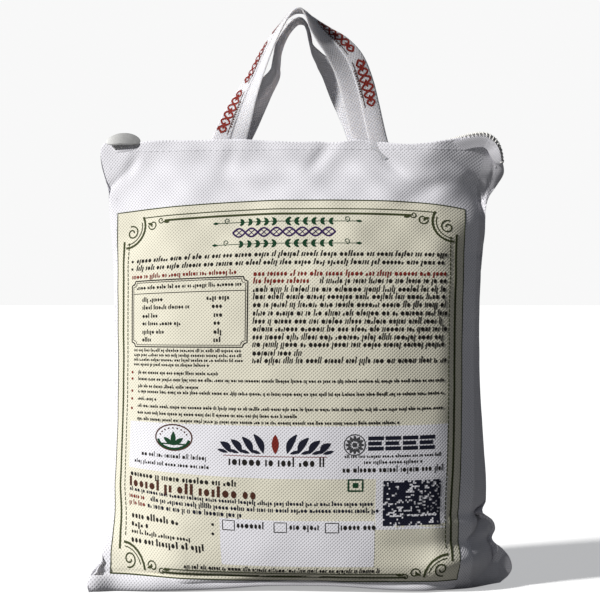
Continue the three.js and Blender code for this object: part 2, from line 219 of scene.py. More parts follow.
def bell(x, middle, spread):
    """1 in the middle, and less and less away from it."""
    return np.exp(-(((x - middle) / spread) ** 2))


def unit(vectors):
    return vectors / np.maximum(np.linalg.norm(vectors, axis=-1, keepdims=True), TINY)


def walked(points, power=1):
    """How far along a line each of its points lies. A step counts with a power of its length."""
    steps = np.linalg.norm(np.diff(points, axis=-2), axis=-1) ** power
    return np.concatenate((np.zeros((*steps.shape[:-1], 1)), np.cumsum(steps, axis=-1)), axis=-1)


def hermite(knots, values, at):
    """Values on a smooth curve through the values at rising knots."""
    slopes = np.empty_like(values)
    slopes[1:-1] = (values[2:] - values[:-2]) / (knots[2:] - knots[:-2])
    slopes[0] = (values[1] - values[0]) / (knots[1] - knots[0])
    slopes[-1] = (values[-1] - values[-2]) / (knots[-1] - knots[-2])
    i = np.clip(np.searchsorted(knots, at) - 1, 0, len(knots) - 2)
    run = knots[i + 1] - knots[i]
    t = np.clip((at - knots[i]) / run, 0, 1)
    eased = values[i] + (values[i + 1] - values[i]) * smooth(t)
    return eased + t * (1 - t) ** 2 * run * slopes[i] + t * t * (t - 1) * run * slopes[i + 1]


def station(key, height):
    return hermite(STATION_TABLE["height"], STATION_TABLE[key], height)


def fullness(share, roundness):
    """How thick a face is at a share of its rounding: a round edge, or one that runs out flat."""
    t = np.clip(share, 0, 1)
    roundness = np.clip(roundness, 0, 1)
    return (1 - roundness) * smooth(t) + roundness * np.sqrt(1 - (1 - t) ** 2)


def edges(height):
    """How far the left and the right edge lie from the middle."""
    return BAG_WIDTH / 2 + station("left", height), BAG_WIDTH / 2 + station("right", height)


def across_at(x, height):
    """Where a point lies from -1 at the left seam to 1 at the right seam."""
    left, right = edges(height)
    return np.arcsin(np.clip(2 * (x + left) / (left + right) - 1, -1, 1)) * 2 / math.pi


def foot_bulge(x, height, form):
    """A bulge at the foot, given by its size, middle, spread and top."""
    size, middle, spread, top = form
    return size * bell(x, middle, spread) * (1 - smooth(height / top))


def plain_point(side, across, height):
    """The bag's outline before its creases."""
    left, right = edges(height)
    roundness = station("round", height)
    x = -left + (left + right) * (np.sin(across * math.pi / 2) + 1) / 2
    ear, stand_out = np.clip(station("ear", height), 0, 1), station("right", height)
    stretch = EAR_STRETCH - EAR_TIGHTEN * ear
    from_left = (x + left) / (LEFT_ROUNDING + EAR_STRETCH * station("left", height))
    from_right = (right - x - ear * stand_out) / (RIGHT_ROUNDING + stretch * stand_out)
    off_middle = np.where(x < 0, x / left, x / right)
    crown = np.where(x < 0, *CROWN) * off_middle**2
    full = fullness(from_left, roundness) * fullness(from_right, roundness) * (1 - crown)
    empty = EAR_THICKNESS * ear * fullness((right - x) / EAR_LIP, 1) * (1 - full)
    seam = np.where(x < 0, station("seam_left", height), station("seam_right", height))
    front = FRONT_DEPTH * station("front", height) + foot_bulge(x, height, FOOT_JUT)
    back = BACK_DEPTH * station("back", height)
    return x, seam * np.abs(off_middle) ** 3 + side * (np.where(side < 0, front, back) * full + empty)


def crease_depth(side, x, y, height):
    """How deep the creases are pressed in, at points of a face."""
    left, right = edges(height)
    deep = np.zeros_like(x)
    for crease_side, at, slope, depth, spread, reach in CREASES:
        inward = np.maximum(0, (left + x) if crease_side < 0 else (right - x)) + np.abs(y) * CREASE_TURN
        off = np.abs(height - at - slope * inward)
        deep += depth * np.exp(-off / spread) * (1 - smooth(inward / reach))
    at_left, at_right, depth, spread, fade_from, fade_to = FOOT_CREASE
    level = at_left + (at_right - at_left) * np.clip((x + BAG_WIDTH / 2) / BAG_WIDTH, 0, 1)
    fade = 1 - smooth((x - fade_from) / (fade_to - fade_from))
    return deep + np.where(side < 0, depth * np.exp(-np.abs(height - level) / spread) * fade, 0)


def relief(side, x, height):
    """Dents and the filling's unevenness, as a depth below the plain surface."""
    deep = np.zeros_like(x)
    for dents, faces in ((FRONT_DENTS, side < 0), (BACK_DENTS, side > 0)):
        for at_x, at_z, depth, length, width, angle in dents:
            turn = math.radians(angle)
            along = (x - at_x) * math.cos(turn) + (height - at_z) * math.sin(turn)
            off = (height - at_z) * math.cos(turn) - (x - at_x) * math.sin(turn)
            deep += np.where(faces, depth * bell(along, 0, length) * bell(off, 0, width), 0)
    slack_below, slack_above, slack_from, slack_run = SLACK
    slack = slack_below + slack_above * smooth((height - slack_from) / slack_run)
    for amplitude, along_x, along_z, phase in LUMPS:
        wave = np.sin((x * along_x + height * along_z) * MM * 2 * math.pi + phase + side)
        deep += amplitude * slack * wave
    return deep * smooth(height / RELIEF_RUN)


def lift(side, x, height):
    """How far the right ear, the waves of the hem and the arched foot raise a point."""
    rise, start, run, top = EAR_LIFT
    ear = rise * smooth((x - start) / run) * (1 - smooth(height / top))
    waves = sum(rise * bell(x, middle, spread) for middle, rise, spread in HEM_WAVES)
    arch = np.where(side < 0, foot_bulge(x, height, FOOT_ARCH), 0)
    return ear + waves * smooth((height - HEM_FROM) / HEM_RUN) + arch


def bag_point(side, across, height):
    """Points of the bag's outside, as an array of x, y, z rows."""
    side, across, height = (np.asarray(a, float) for a in np.broadcast_arrays(side, across, height))
    x, y = plain_point(side, across, height)
    ahead = plain_point(side, np.minimum(1, across + ACROSS_STEP), height)
    behind = plain_point(side, np.maximum(-1, across - ACROSS_STEP), height)
    along_x, along_y = ahead[0] - behind[0], ahead[1] - behind[1]
    length = np.maximum(np.hypot(along_x, along_y), TINY)
    at_seam = np.abs(across) > AT_SEAM
    out_x = np.where(at_seam, np.sign(across), -side * along_y / length)
    out_y = np.where(at_seam, 0, side * along_x / length)
    deep = crease_depth(side, x, y, height) + relief(side, x, height) * np.where(at_seam, 0, 1)
    z = height + lift(np.where(at_seam, BACK, side), x, height)
    return np.stack((x - out_x * deep, y - out_y * deep, z), axis=-1)


# ---- The print's place on the front ----
# A point of the flat print is given in millimetres: round the bag from the print's middle, and up from
# the floor. LABEL_X is where its middle lies in X.
LABEL_X = -4.7
LABEL_HALF = 88.3
LABEL_BOTTOM = 5.6
LABEL_TOP = 192.3
# How the filling draws the print out of true: height, how far its rows rise at the left and at the right
# edge, and how far out from the middle those edges lie.
DRAWN = (
    (5.6, 2.4, 0.2, 85.8, 87.5),
    (22, 4.6, 0.3, 89.8, 89.2),
    (45, 6, 0.3, 92.3, 89.6),
    (58, 4, 0.8, 92.1, 90.4),
    (82, 1.2, 1.2, 91, 91.3),
    (123, -0.4, 0, 89.6, 91.7),
    (151, -3, 0, 89.2, 91.9),
    (165, -4.2, -0.4, 88.7, 92.1),
    (192.3, -5.6, -4.3, 86.8, 91.6),
)
DRAWN_TABLE = np.array(DRAWN, float).T
# How fast a row's rise grows towards the left and the right edge.
LEFT_BOW, RIGHT_BOW = 1.5, 4
# The faces' tables: how many columns from seam to seam, and the step and the reach of the way round.
ACROSS_COLUMNS = 601
ROUND_STEP, ROUND_REACH = 0.5, 150
# How far off a point's neighbours lie, which give the way out of a face.
NORMAL_STEP = 0.6
# How often a flat point and a level are set right, and how far out flat points are.
FLATTEN_TURNS, LEVEL_TURNS = 6, 4
FLATTEN_REACH = LABEL_HALF * 1.1


def surface_tables(side):
    """For each millimetre of height, the way round at each across, and the across at each way round."""
    across = np.linspace(-1, 1, ACROSS_COLUMNS)
    points = bag_point(side, across, np.arange(0, BAG_HEIGHT + 1, 1.0)[:, None])
    ways = walked(points[..., :2])
    ways -= np.array([np.interp(LABEL_X, row[:, 0], way) for row, way in zip(points, ways)])[:, None]
    even = np.arange(-ROUND_REACH, ROUND_REACH + ROUND_STEP, ROUND_STEP)
    return ways, np.array([np.interp(even, way, across) for way in ways])


def sample(table, row, column):
    """A table's value at fractional rows and columns."""
    row, column = (np.clip(at, 0, size - 1.001) for at, size in zip((row, column), table.shape))
    i, j = row.astype(int), column.astype(int)
    u, v = row - i, column - j
    low = table[i, j] * (1 - v) + table[i, j + 1] * v
    high = table[i + 1, j] * (1 - v) + table[i + 1, j + 1] * v
    return low * (1 - u) + high * u


def draw_out(s, z):
    """Where the filling takes a point of the flat print: the way round the bag, and the height."""
    heights, left_rise, right_rise, left_reach, right_reach = DRAWN_TABLE
    share = np.abs(s) / LABEL_HALF
    left = np.interp(z, heights, left_rise) * share**LEFT_BOW
    right = np.interp(z, heights, right_rise) * share**RIGHT_BOW
    reach = np.where(s < 0, np.interp(z, heights, left_reach), np.interp(z, heights, right_reach))
    return s * reach / LABEL_HALF, z + np.where(s < 0, left, right)


def flatten(way, height):
    """The point of the flat print that lies at a way round the bag and a height."""
    s, z = way, height
    for _ in range(FLATTEN_TURNS):
        at_way, at_height = draw_out(np.clip(s, -FLATTEN_REACH, FLATTEN_REACH), z)
        s, z = s + way - at_way, z + height - at_height
    return s, z


SURFACE = {side: surface_tables(side) for side in (FRONT, BACK)}


def on_wall(side, way, height):
    """Points of a face at a way round from the print's middle and a height above the floor."""
    level = height
    for _ in range(LEVEL_TURNS):
        across = sample(SURFACE[side][1], level, (way + ROUND_REACH) / ROUND_STEP)
        level = height - lift(side, plain_point(side, across, level)[0], level)
    return bag_point(side, across, level)


def off_wall(side, way, height, proud):
    """Points that stand proud of a face."""
    point = on_wall(side, way, height)
    ahead, above = on_wall(side, way + NORMAL_STEP, height), on_wall(side, way, height + NORMAL_STEP)
    return point + unit(np.cross(ahead - point, above - point) * -side) * proud[:, None]


def on_print(s, z, proud):
    return off_wall(FRONT, *draw_out(s, z), proud)


# ---- Mesh helpers ----
PRINT_MAP = "print"
WELD = 0.004 * MM
# How many points a path has between two of its knots while it is measured.
FINE_STEPS = 40


def coordinates(verts):
    return np.array([vert.co for vert in verts])


def grid(bm, columns, rows):
    """A grid's vertices, which lie at whole numbers, and the column and the row of each."""
    verts = bmesh.ops.create_grid(bm, x_segments=columns, y_segments=rows, size=0.5)["verts"]
    stretch = Matrix.Diagonal((columns, rows, 1, 1)) @ Matrix.Translation((0.5, 0.5, 0))
    bmesh.ops.transform(bm, matrix=stretch, verts=verts)
    return verts, np.rint(coordinates(verts)[:, :2]).astype(int)


def place(verts, points):
    """Moves vertices to points given in millimetres."""
    for vert, point in zip(verts, points * MM):
        vert.co = point


def finish_piece(bm, name, material, node=None, sharp=40):
    """Makes the piece from its bmesh, gives it its material and hangs it on the frame."""
    for face in bm.faces:
        face.smooth = True
    mesh = bpy.data.meshes.new(name)
    bm.to_mesh(mesh)
    bm.free()
    mesh.set_sharp_from_angle(angle=math.radians(sharp))
    mesh.materials.append(material)
    piece = bpy.data.objects.new(name, mesh)
    bpy.context.scene.collection.objects.link(piece)
    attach(piece, "root")
    if node:
        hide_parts(node)


def path_frames(path, spacing):
    """Even steps along a strip's path: its middles, the ways across and out of it, and their lengths."""
    table = np.array(path, float)
    knots = walked(table[:, :3], 0.5)
    fine = np.linspace(0, knots[-1], FINE_STEPS * len(table))
    dense = np.stack([hermite(knots, column, fine) for column in table.T], axis=-1)
    lengths = walked(dense[:, :3])
    along = np.linspace(0, lengths[-1], max(2, round(lengths[-1] / spacing)) + 1)
    even = np.stack([np.interp(along, lengths, column) for column in dense.T], axis=-1)
    middle, tilt = even[:, :3], np.radians(even[:, 3])
    tangent = unit(np.gradient(middle, axis=0))
    flat = unit(np.stack((-tangent[:, 2], np.zeros(len(tilt)), tangent[:, 0]), axis=-1))
    across = flat * np.cos(tilt)[:, None] + np.array((0, 1, 0)) * np.sin(tilt)[:, None]
    across = unit(across - tangent * np.sum(across * tangent, axis=1)[:, None])
    return middle, across, np.cross(tangent, across), along


def lay_on_path(frames, across, along, height):
    """Points at distances across, along and out of a strip's path."""
    middle, sideways, out, lengths = frames

    def at(rows):
        return np.stack([np.interp(along, lengths, column) for column in rows.T], axis=-1)

    return at(middle) + at(sideways) * across[:, None] + at(out) * height[:, None]


def wrap(bm, rings, around=None, along=None):
    """A skin over closed rings of points, one for each step. around and along lay it on the flat cloth."""
    if around is not None:
        layer = bm.loops.layers.uv.get(PRINT_MAP) or bm.loops.layers.uv.new(PRINT_MAP)
    verts, index = grid(bm, len(rings) - 1, rings.shape[1])
    if around is not None:
        flat = {vert: (around[i] * MM, along[j] * MM) for vert, (j, i) in zip(verts, index)}
        for face in {face for vert in verts for face in vert.link_faces}:
            for loop in face.loops:
                loop[layer].uv = flat[loop.vert]
    place(verts, rings[index[:, 0], index[:, 1] % rings.shape[1]])
    bmesh.ops.remove_doubles(bm, verts=verts, dist=WELD)


def sweep(bm, frames, profile, swell=1.0):
    """A closed bar along a path: profile is its section's outline, as pairs of across and out.

    swell gives how much the section grows, at each step of the path where it isn't the same all along.
    """
    middle, across, out, lengths = (rows[:, None] for rows in frames)
    outline = np.array(profile, float)
    section = outline * np.reshape(swell, (-1, 1, 1))
    rings = middle + across * section[..., :1] + out * section[..., 1:]
    wrap(bm, rings, walked(np.vstack((outline, outline[:1]))), lengths[:, 0])


def oval(half_width, half_height, turn):
    """An oval section with a corner at every turn of so many degrees."""
    return [(half_width * math.cos(a), half_height * math.sin(a)) for a in np.radians(range(0, 360, turn))]


def rounded_ends(frames, run):
    """How far a strip's section has grown at each step, where its ends are rounded over a run."""
    lengths = frames[3]
    ends = np.clip(np.minimum(lengths, lengths[-1] - lengths) / run, 0, 1)
    return np.sqrt(np.clip(1 - (1 - ends) ** 2, 0.01, 1))


def close_up(bm):
    """Caps open ends and turns every face outwards."""
    bmesh.ops.holes_fill(bm, edges=[edge for edge in bm.edges if edge.is_boundary], sides=0)
    bmesh.ops.recalc_face_normals(bm, faces=bm.faces[:])


def tube(bm, points, outward, radius, sides):
    """A closed round tube through points, with a way out of its axis given at each of them."""
    tangent = unit(np.gradient(points, axis=0))
    first = unit(outward - tangent * np.sum(outward * tangent, axis=1)[:, None])
    second = np.cross(tangent, first)
    turn = (np.arange(sides) * 2 * math.pi / sides)[:, None]
    wrap(bm, points[:, None] + (first[:, None] * np.cos(turn) + second[:, None] * np.sin(turn)) * radius)


def swept_piece(name, frames, profile, swell, material, node=None):
    """Makes a piece that is one closed bar along a path."""
    bm = bmesh.new()
    sweep(bm, frames, profile, swell)
    close_up(bm)
    finish_piece(bm, name, material, node)


def make_slabs(name, material, lay, thickness, strips=(), sheets=()):
    """One thin closed slab for each strip or sheet of flat points, laid on a surface.

    A strip is two rows of flat points and a sheet has more. thickness is how far the slabs reach under
    the surface and how far they stand over it.
    """
    bm = bmesh.new()
    if strips:
        points = np.concatenate(strips, axis=1)
        lasts = np.cumsum([strip.shape[1] for strip in strips]) - 1
        verts, index = grid(bm, points.shape[1] - 1, 1)
        gaps = set(lasts[:-1].tolist())
        between = [face for face in bm.faces if int(face.calc_center_median().x) in gaps]
        for vert, (column, row) in zip(verts, index):
            vert.co = (*points[row, column], 0)
        bmesh.ops.delete(bm, geom=between, context="FACES_ONLY")
        bmesh.ops.delete(bm, geom=[edge for edge in bm.edges if not edge.link_faces], context="EDGES")
    for sheet in sheets:
        for vert, (column, row) in zip(*grid(bm, sheet.shape[1] - 1, sheet.shape[0] - 1)):
            vert.co = (*sheet[row, column], 0)
    made = bmesh.ops.extrude_face_region(bm, geom=bm.faces[:])["geom"]
    for item in made:
        if isinstance(item, bmesh.types.BMVert):
            item.co.z = 1
    layer = bm.loops.layers.uv.new(PRINT_MAP)
    for face in bm.faces:
        for loop in face.loops:
            loop[layer].uv = loop.vert.co.xy * MM
    flat = coordinates(bm.verts)
    under, over = thickness
    place(bm.verts, lay(flat[:, 0], flat[:, 1], np.where(flat[:, 2] > 0.5, over, -under)))
    bmesh.ops.recalc_face_normals(bm, faces=bm.faces[:])
    finish_piece(bm, name, material)


# ---- Materials ----
def scaled(colour, factor):
    return tuple(min(1, channel * factor) for channel in colour)


class Recipe:
    """Builds one material's nodes."""

    def __init__(self, name, colour, roughness, **sockets):
        self.material = bpy.data.materials.new(name)
        self.material.use_nodes = True
        self.tree = self.material.node_tree
        self.shader = self.tree.nodes["Principled BSDF"]
        self.shader.inputs["Base Color"].default_value = (*colour, 1)
        self.shader.inputs["Roughness"].default_value = roughness
        for socket, value in sockets.items():
            self.shader.inputs[socket.replace("_", " ")].default_value = value

    def add(self, kind, inputs, **settings):
        node = self.tree.nodes.new(kind)
        for key, value in settings.items():
            setattr(node, key, value)
        for socket, value in inputs.items():
            if isinstance(value, bpy.types.NodeSocket):
                self.tree.links.new(value, node.inputs[socket])
            else:
                node.inputs[socket].default_value = value
        return node

    def math(self, operation, *values):
        return self.add("ShaderNodeMath", dict(enumerate(values)), operation=operation).outputs[0]

    def mix(self, factor, first, second):
        inputs = {0: factor, 6: first, 7: second}
        return self.add("ShaderNodeMix", inputs, data_type="RGBA").outputs[2]

    def shades(self, factor, tint, low, high):
        """From a darker to a brighter shade of one colour."""
        return self.mix(factor, (*scaled(tint, low), 1), (*scaled(tint, high), 1))

    def noise(self, vector, scale, detail=2.0, roughness=0.5):
        inputs = {"Vector": vector, "Scale": scale, "Detail": detail, "Roughness": roughness}
        return self.add("ShaderNodeTexNoise", inputs).outputs["Fac"]

    def flat(self):
        """Where a point lies on the flat cloth, in metres: along and up."""
        flat = self.add("ShaderNodeUVMap", {}, uv_map=PRINT_MAP).outputs[0]
        return flat, *self.add("ShaderNodeSeparateXYZ", {0: flat}).outputs[:2]

    def paint(self, colour):
        self.tree.links.new(colour, self.shader.inputs["Base Color"])

    def emboss(self, height, depth):
        bump = self.add("ShaderNodeBump", {"Height": height, "Distance": depth})
        self.tree.links.new(bump.outputs[0], self.shader.inputs["Normal"])


def lattice(recipe, u, v, pitch):
    """The fabric's embossed dimples, from 0 in a dimple to 1 between them, in rows along both diagonals."""
    turn = 2 * math.pi / (pitch * math.sqrt(2))
    dips = []
    for way in ("ADD", "SUBTRACT"):
        row = recipe.math("SINE", recipe.math("MULTIPLY", recipe.math(way, u, v), turn))
        dips.append(recipe.math("MULTIPLY_ADD", row, -0.5, 0.5))
    return recipe.math("SUBTRACT", 1.0, recipe.math("MULTIPLY", *dips))


def inside(recipe, value, low, high):
    """1 where a value lies between two others, and 0 elsewhere."""
    off = recipe.math("ABSOLUTE", recipe.math("SUBTRACT", value, (low + high) / 2))
    return recipe.math("LESS_THAN", off, (high - low) / 2)


# The cloth's sheen for each share of gloss, and the size of its fibres and of its cloudy shades.
SHEEN, SHEEN_ROUGHNESS = 0.16, 0.5
FIBRE, BLOTCH = 0.9 * MM, 24 * MM
# How much brighter the cloth is painted between its dimples, as a share of the painted shade that darkens
# it in them.
BRIGHTER = 0.3


def cloth(name, colour, pitch=1.24 * MM, contrast=0.42, depth=0.13 * MM, field=None, roughness=0.88,
          gloss=0.5):
    """Embossed spunbond cloth, with painted shade in its dimples, and a printed field of another colour
    where one is given.
    """
    recipe = Recipe(name, colour, roughness, Specular_IOR_Level=gloss, Sheen_Weight=SHEEN * gloss,
                    Sheen_Roughness=SHEEN_ROUGHNESS)
    flat, u, v = recipe.flat()
    dimples = lattice(recipe, u, v, pitch)
    fibres = recipe.noise(flat, 1 / FIBRE, 3.0, 0.6)
    blotch = recipe.noise(flat, 1 / BLOTCH)
    # The colour is darker in the dimples by painted shade, with random tone from the fibres and the cloudy
    # blotches.
    dimple_shade_and_tone = recipe.math("MULTIPLY_ADD", dimples, 0.8, recipe.math("MULTIPLY", fibres, 0.3))
    dimple_shade_and_tone = recipe.math("MULTIPLY_ADD", recipe.math("SUBTRACT", blotch, 0.5), 0.2, dimple_shade_and_tone)

    def shades(tint):
        return recipe.shades(dimple_shade_and_tone, tint, 1 - contrast, 1 + contrast * BRIGHTER)

    tinted = shades(colour)
    if field:
        tint, (left, right, bottom, top) = field
        within = recipe.math("MULTIPLY", inside(recipe, u, left, right), inside(recipe, v, bottom, top))
        tinted = recipe.mix(within, tinted, shades(tint))
    recipe.paint(tinted)
    recipe.emboss(recipe.math("MULTIPLY_ADD", fibres, 0.35, dimples), depth)
    return recipe.material


def ink(name, colour):
    """Printing ink that has sunk into the cloth, with the cloth's painted shade in the dimples, stronger
    than on the bare cloth.
    """
    return cloth(name, colour, contrast=0.5, depth=0.1 * MM, roughness=0.75, gloss=0.12)


def webbing(name, colour):
    """Cloth that is thin enough to let some light through."""
    material = cloth(name, colour, contrast=0.34)
    shader = material.node_tree.nodes["Principled BSDF"]
    shader.inputs["Subsurface Weight"].default_value = 1.0
    shader.inputs["Subsurface Scale"].default_value = TAPE_GLOW
    shader.inputs["Subsurface Radius"].default_value = TAPE_TINT
    return material


def worn(name, colour, roughness, wear, shades, grain, **sockets):
    """A hard surface with uneven shades and a fine grain.

    wear is the scale, detail and roughness of its noise, and grain is its bumps' scale and depth.
    """
    recipe = Recipe(name, colour, roughness, **sockets)
    spot = recipe.add("ShaderNodeTexCoord", {}).outputs["Object"]
    recipe.paint(recipe.shades(recipe.noise(spot, *wear), colour, *shades))
    scale, depth = grain
    recipe.emboss(recipe.noise(spot, scale), depth * MM)
    return recipe.material


def metal(name, colour):
    return worn(name, colour, 0.5, (900.0, 4.0, 0.65), (0.75, 1.2), (2600.0, 0.04), Metallic=0.6)


def plastic(name, colour):
    return worn(name, colour, 0.42, (420.0, 3.0), (0.84, 1.1), (3000.0, 0.03))


# ---- Bag ----
FRONT_COLUMNS = 190
BACK_COLUMNS = 160
WALL_ROWS = 190
BASE_ROWS = 12
FLOOR_ROWS = 4
# How much closer the wall's rows lie near its foot and its top.
ROW_EASE = 0.6
# The rolled edge over the zip: steps in from the rim, and their rise.
LIP = ((0.12, 0.45), (0.5, 0.72), (0.95, 0.7), (1.3, 0.35), (1.45, -0.3), (1.5, -1.6), (1.5, -3.4))
# What share of the way in the lip may take up, and where the way in is short, over what it flattens out.
LIP_SHARE, LIP_FADE = 0.85, 3
# Where the groove over the zip opens and closes in X.
GROOVE = (-84, -76, 66, 80)
# Where the back, the base and the rim lie on the flat cloth, clear of the printed front.
BACK_OFFSET, BASE_OFFSET, RIM_OFFSET = 600, -300, 600
BAG_WELD = 0.01 * MM
# The angle in degrees from which on an edge of the shell is sharp.
BAG_SHARP = 75


def shell_rows():
    """Each row's kind: its height on the wall, its share of the base, or its step over the lip."""
    rows = [("base", i / BASE_ROWS) for i in range(BASE_ROWS)]
    for i in range(WALL_ROWS + 1):
        share = i / WALL_ROWS
        eased = (1 - math.cos(math.pi * share)) / 2
        rows.append(("wall", BAG_HEIGHT * ((1 - ROW_EASE) * share + ROW_EASE * eased)))
    rows += [("lip", step) for step in LIP]
    rows += [("floor", 1 - (i + 1) / FLOOR_ROWS) for i in range(FLOOR_ROWS)]
    return rows


def shell_point(row, side, across):
    """Points of one row of the shell: of the base, the wall, the lip or the floor of the zip's groove."""
    kind, value = row
    level = {"base": 0, "wall": value}.get(kind, BAG_HEIGHT)
    rim = bag_point(side, across, level)
    if kind == "wall":
        return rim
    middle = (rim + bag_point(-side, across, level)) / 2
    if kind == "base":
        flat = middle + (rim - middle) * value
        flat[:, 2] = rim[:, 2]
        return flat
    inward = middle - rim
    reach = np.maximum(np.linalg.norm(inward[:, :2], axis=1), TINY)
    x = rim[:, 0]
    left_0, left_1, right_0, right_1 = GROOVE
    opened = smooth((x - left_0) / (left_1 - left_0)) * (1 - smooth((x - right_0) / (right_1 - right_0)))
    step, rise = value if kind == "lip" else LIP[-1]
    share = np.minimum(step, LIP_SHARE * reach) / reach
    if kind == "floor":
        share = share + (1 - share) * (1 - value)
        inward[:, 2] = 0
    out = rim + inward * share[:, None]
    out[:, 2] += np.where(rise > 0, 1, opened) * rise * np.minimum(1, reach / LIP_FADE)
    return out


def wall_cloth(side, across, height, points):
    """Where points of the wall lie on the flat cloth."""
    way = sample(SURFACE[side][0], height, (across + 1) / 2 * (ACROSS_COLUMNS - 1))
    if side == BACK:
        return np.stack((BACK_OFFSET - way, height), axis=-1)
    return np.stack(flatten(way, points[:, 2]), axis=-1)


def make_bag(colours):
    rows = shell_rows()
    bm = bmesh.new()
    layer = bm.loops.layers.uv.new(PRINT_MAP)
    verts, index = grid(bm, FRONT_COLUMNS + BACK_COLUMNS, len(rows) - 1)
    column, row = index.T
    side = np.where(column <= FRONT_COLUMNS, FRONT, BACK)
    front_across = np.minimum(2 * column / FRONT_COLUMNS - 1, 1)
    back_across = np.minimum(1 - 2 * (column - FRONT_COLUMNS) / BACK_COLUMNS, 1)
    across = np.where(side == FRONT, front_across, back_across)
    points = np.empty((len(verts), 3))
    front_cloth, back_cloth = np.empty((2, len(verts), 2))
    for number, (kind, value) in enumerate(rows):
        chosen = row == number
        points[chosen] = shell_point((kind, value), side[chosen].astype(float), across[chosen])
        if kind == "wall":
            height = np.full(chosen.sum(), float(value))
            front_cloth[chosen] = wall_cloth(FRONT, front_across[chosen], height, points[chosen])
            back_cloth[chosen] = wall_cloth(BACK, back_across[chosen], height, points[chosen])
    number_of = {vert: i for i, vert in enumerate(verts)}
    for face in bm.faces:
        corners = [number_of[loop.vert] for loop in face.loops]
        flat = (front_cloth if max(column[corners]) <= FRONT_COLUMNS else back_cloth)[corners]
        if min(row[corners]) < BASE_ROWS:
            flat = points[corners, :2] + (0, BASE_OFFSET)
        elif max(row[corners]) > BASE_ROWS + WALL_ROWS:
            flat = points[corners, :2] + (0, RIM_OFFSET)
        for loop, at in zip(face.loops, flat):
            loop[layer].uv = at * MM
    place(verts, points)
    bmesh.ops.remove_doubles(bm, verts=bm.verts[:], dist=BAG_WELD)
    bmesh.ops.recalc_face_normals(bm, faces=bm.faces[:])
    bounds = tuple(v * MM for v in (-LABEL_HALF, LABEL_HALF, LABEL_BOTTOM, LABEL_TOP))
    fabric = cloth("bag_fabric", colours.fabric, field=(colours.cream, bounds))
    finish_piece(bm, "bag_shell", fabric, node="bag", sharp=BAG_SHARP)


class FLOURBAG_OT_bag(bpy.types.Operator):
    """Make the filled bag"""

    bl_idname = "flour_bag.bag"
    bl_label = "Bag"

    def execute(self, context):
        make_bag(context.scene.flour_bag_colours)
        return {"FINISHED"}


# ---- Print: marks on the flat, in millimetres round and up ----
# How far inks and white grounds reach under the fabric, and how far they stand over it.
INK_THICKNESS = (0.1, 0.13)
GROUND_THICKNESS = (0.1, 0.06)
# The steps of lines and of grounds, and an arc's turn from point to point.
MARK_STEP, SHEET_STEP, ARC_TURN = 2.5, 3, 14
# A curl's points for each turn, and its eye's radius as a share of its own.
CURL_STEPS, CURL_EYE = 16, 0.25


def strip(low, high):
    return np.array((low, high), float)


def ribbon(points, width):
    """A line of even width through points, in short steps."""
    points = np.array(points, float)
    lengths = walked(points)
    steps = np.concatenate([np.linspace(a, b, max(1, math.ceil((b - a) / MARK_STEP)), endpoint=False)
                            for a, b in zip(lengths[:-1], lengths[1:])] + [[lengths[-1]]])
    line = np.stack([np.interp(steps, lengths, column) for column in points.T], axis=-1)
    way = unit(np.gradient(line, axis=0))
    off = np.stack((-way[:, 1], way[:, 0]), axis=-1) * width / 2
    return strip(line - off, line + off)


def box(left, right, bottom, top):
    """A filled box that is no taller than a line of type."""
    return ribbon(((left, (bottom + top) / 2), (right, (bottom + top) / 2)), top - bottom)


def polar(s, z, reach, degrees, tall=1.0):
    """The point that lies at a distance and an angle from another."""
    angle = math.radians(degrees)
    return s + reach * math.cos(angle), z + tall * reach * math.sin(angle)


def frame_box(left, right, bottom, top, width, notch=0.0):
    """A box's outline, with its corners cut back in quarter rounds where a notch is given."""
    points = []
    for s, z, start in ((left, bottom, 90), (right, bottom, 180), (right, top, 270), (left, top, 0)):
        turns = range(start, start - 91, -15) if notch else (start,)
        points += [polar(s, z, notch, turn) for turn in turns]
    return [ribbon((*points, points[0]), width)]


def arc(s, z, radius, start, stop, tall=1.0):
    count = max(4, round(abs(stop - start) / ARC_TURN))
    return [polar(s, z, radius, turn, tall) for turn in np.linspace(start, stop, count + 1)]


def curl(s, z, radius, start, turns):
    """A spiral that winds in to its eye: turns is negative where it winds clockwise."""
    shares = np.linspace(0, 1, max(10, round(abs(turns) * CURL_STEPS)) + 1)
    return [polar(s, z, radius * (1 - share * (1 - CURL_EYE)), start + turns * 360 * share)
            for share in shares]


def leaf(s, z, length, width, angle, bend=0.0, point=0.8):
    """A leaf that grows from a point at an angle in degrees; point is how sharp its ends are."""
    turn = math.radians(angle)
    share = np.linspace(0.02, 0.98, 7)
    half = width / 2 * np.sin(share * math.pi) ** point
    middle = bend * np.sin(share * math.pi)
    along = share * length

    def turned(off):
        return np.stack((s + along * math.cos(turn) - off * math.sin(turn),
                         z + along * math.sin(turn) + off * math.cos(turn)), axis=-1)

    return strip(turned(middle - half), turned(middle + half))


def disc(s, z, radius):
    angles = np.linspace(0.12, math.pi - 0.12, 9)
    reach = radius * np.stack((-np.cos(angles), np.sin(angles)), axis=-1)
    return strip(reach * (1, -1) + (s, z), reach + (s, z))


def sheet(left, right, bottom, top):
    across = np.linspace(left, right, math.ceil((right - left) / SHEET_STEP) + 1)
    up = np.linspace(bottom, top, math.ceil((top - bottom) / SHEET_STEP) + 1)
    return np.stack(np.meshgrid(across, up), axis=-1)


# Posts that stand for letters: up to which draw each is taken, its width in weights, and its foot and head
# in sizes. Draws below SEED_SHARE give a seed instead, of one of the widths in sizes.
POSTS = ((0.72, 1, 0, 1), (0.86, 1, 0, 1.5), (0.94, 1, -0.45, 1), (1, 1.4, 0, 0.6))
SEED_SHARE, SEED_WIDTHS, SEED_POINT = 0.48, (0.55, 0.68, 0.8), 0.45
WORD_GAP = 0.5


def post(s, width, base, slant, low, high):
    """An upright mark between two levels over its line's base."""
    return strip(*([(s + slant * level, base + level), (s + width + slant * level, base + level)]
                   for level in (low, high)))


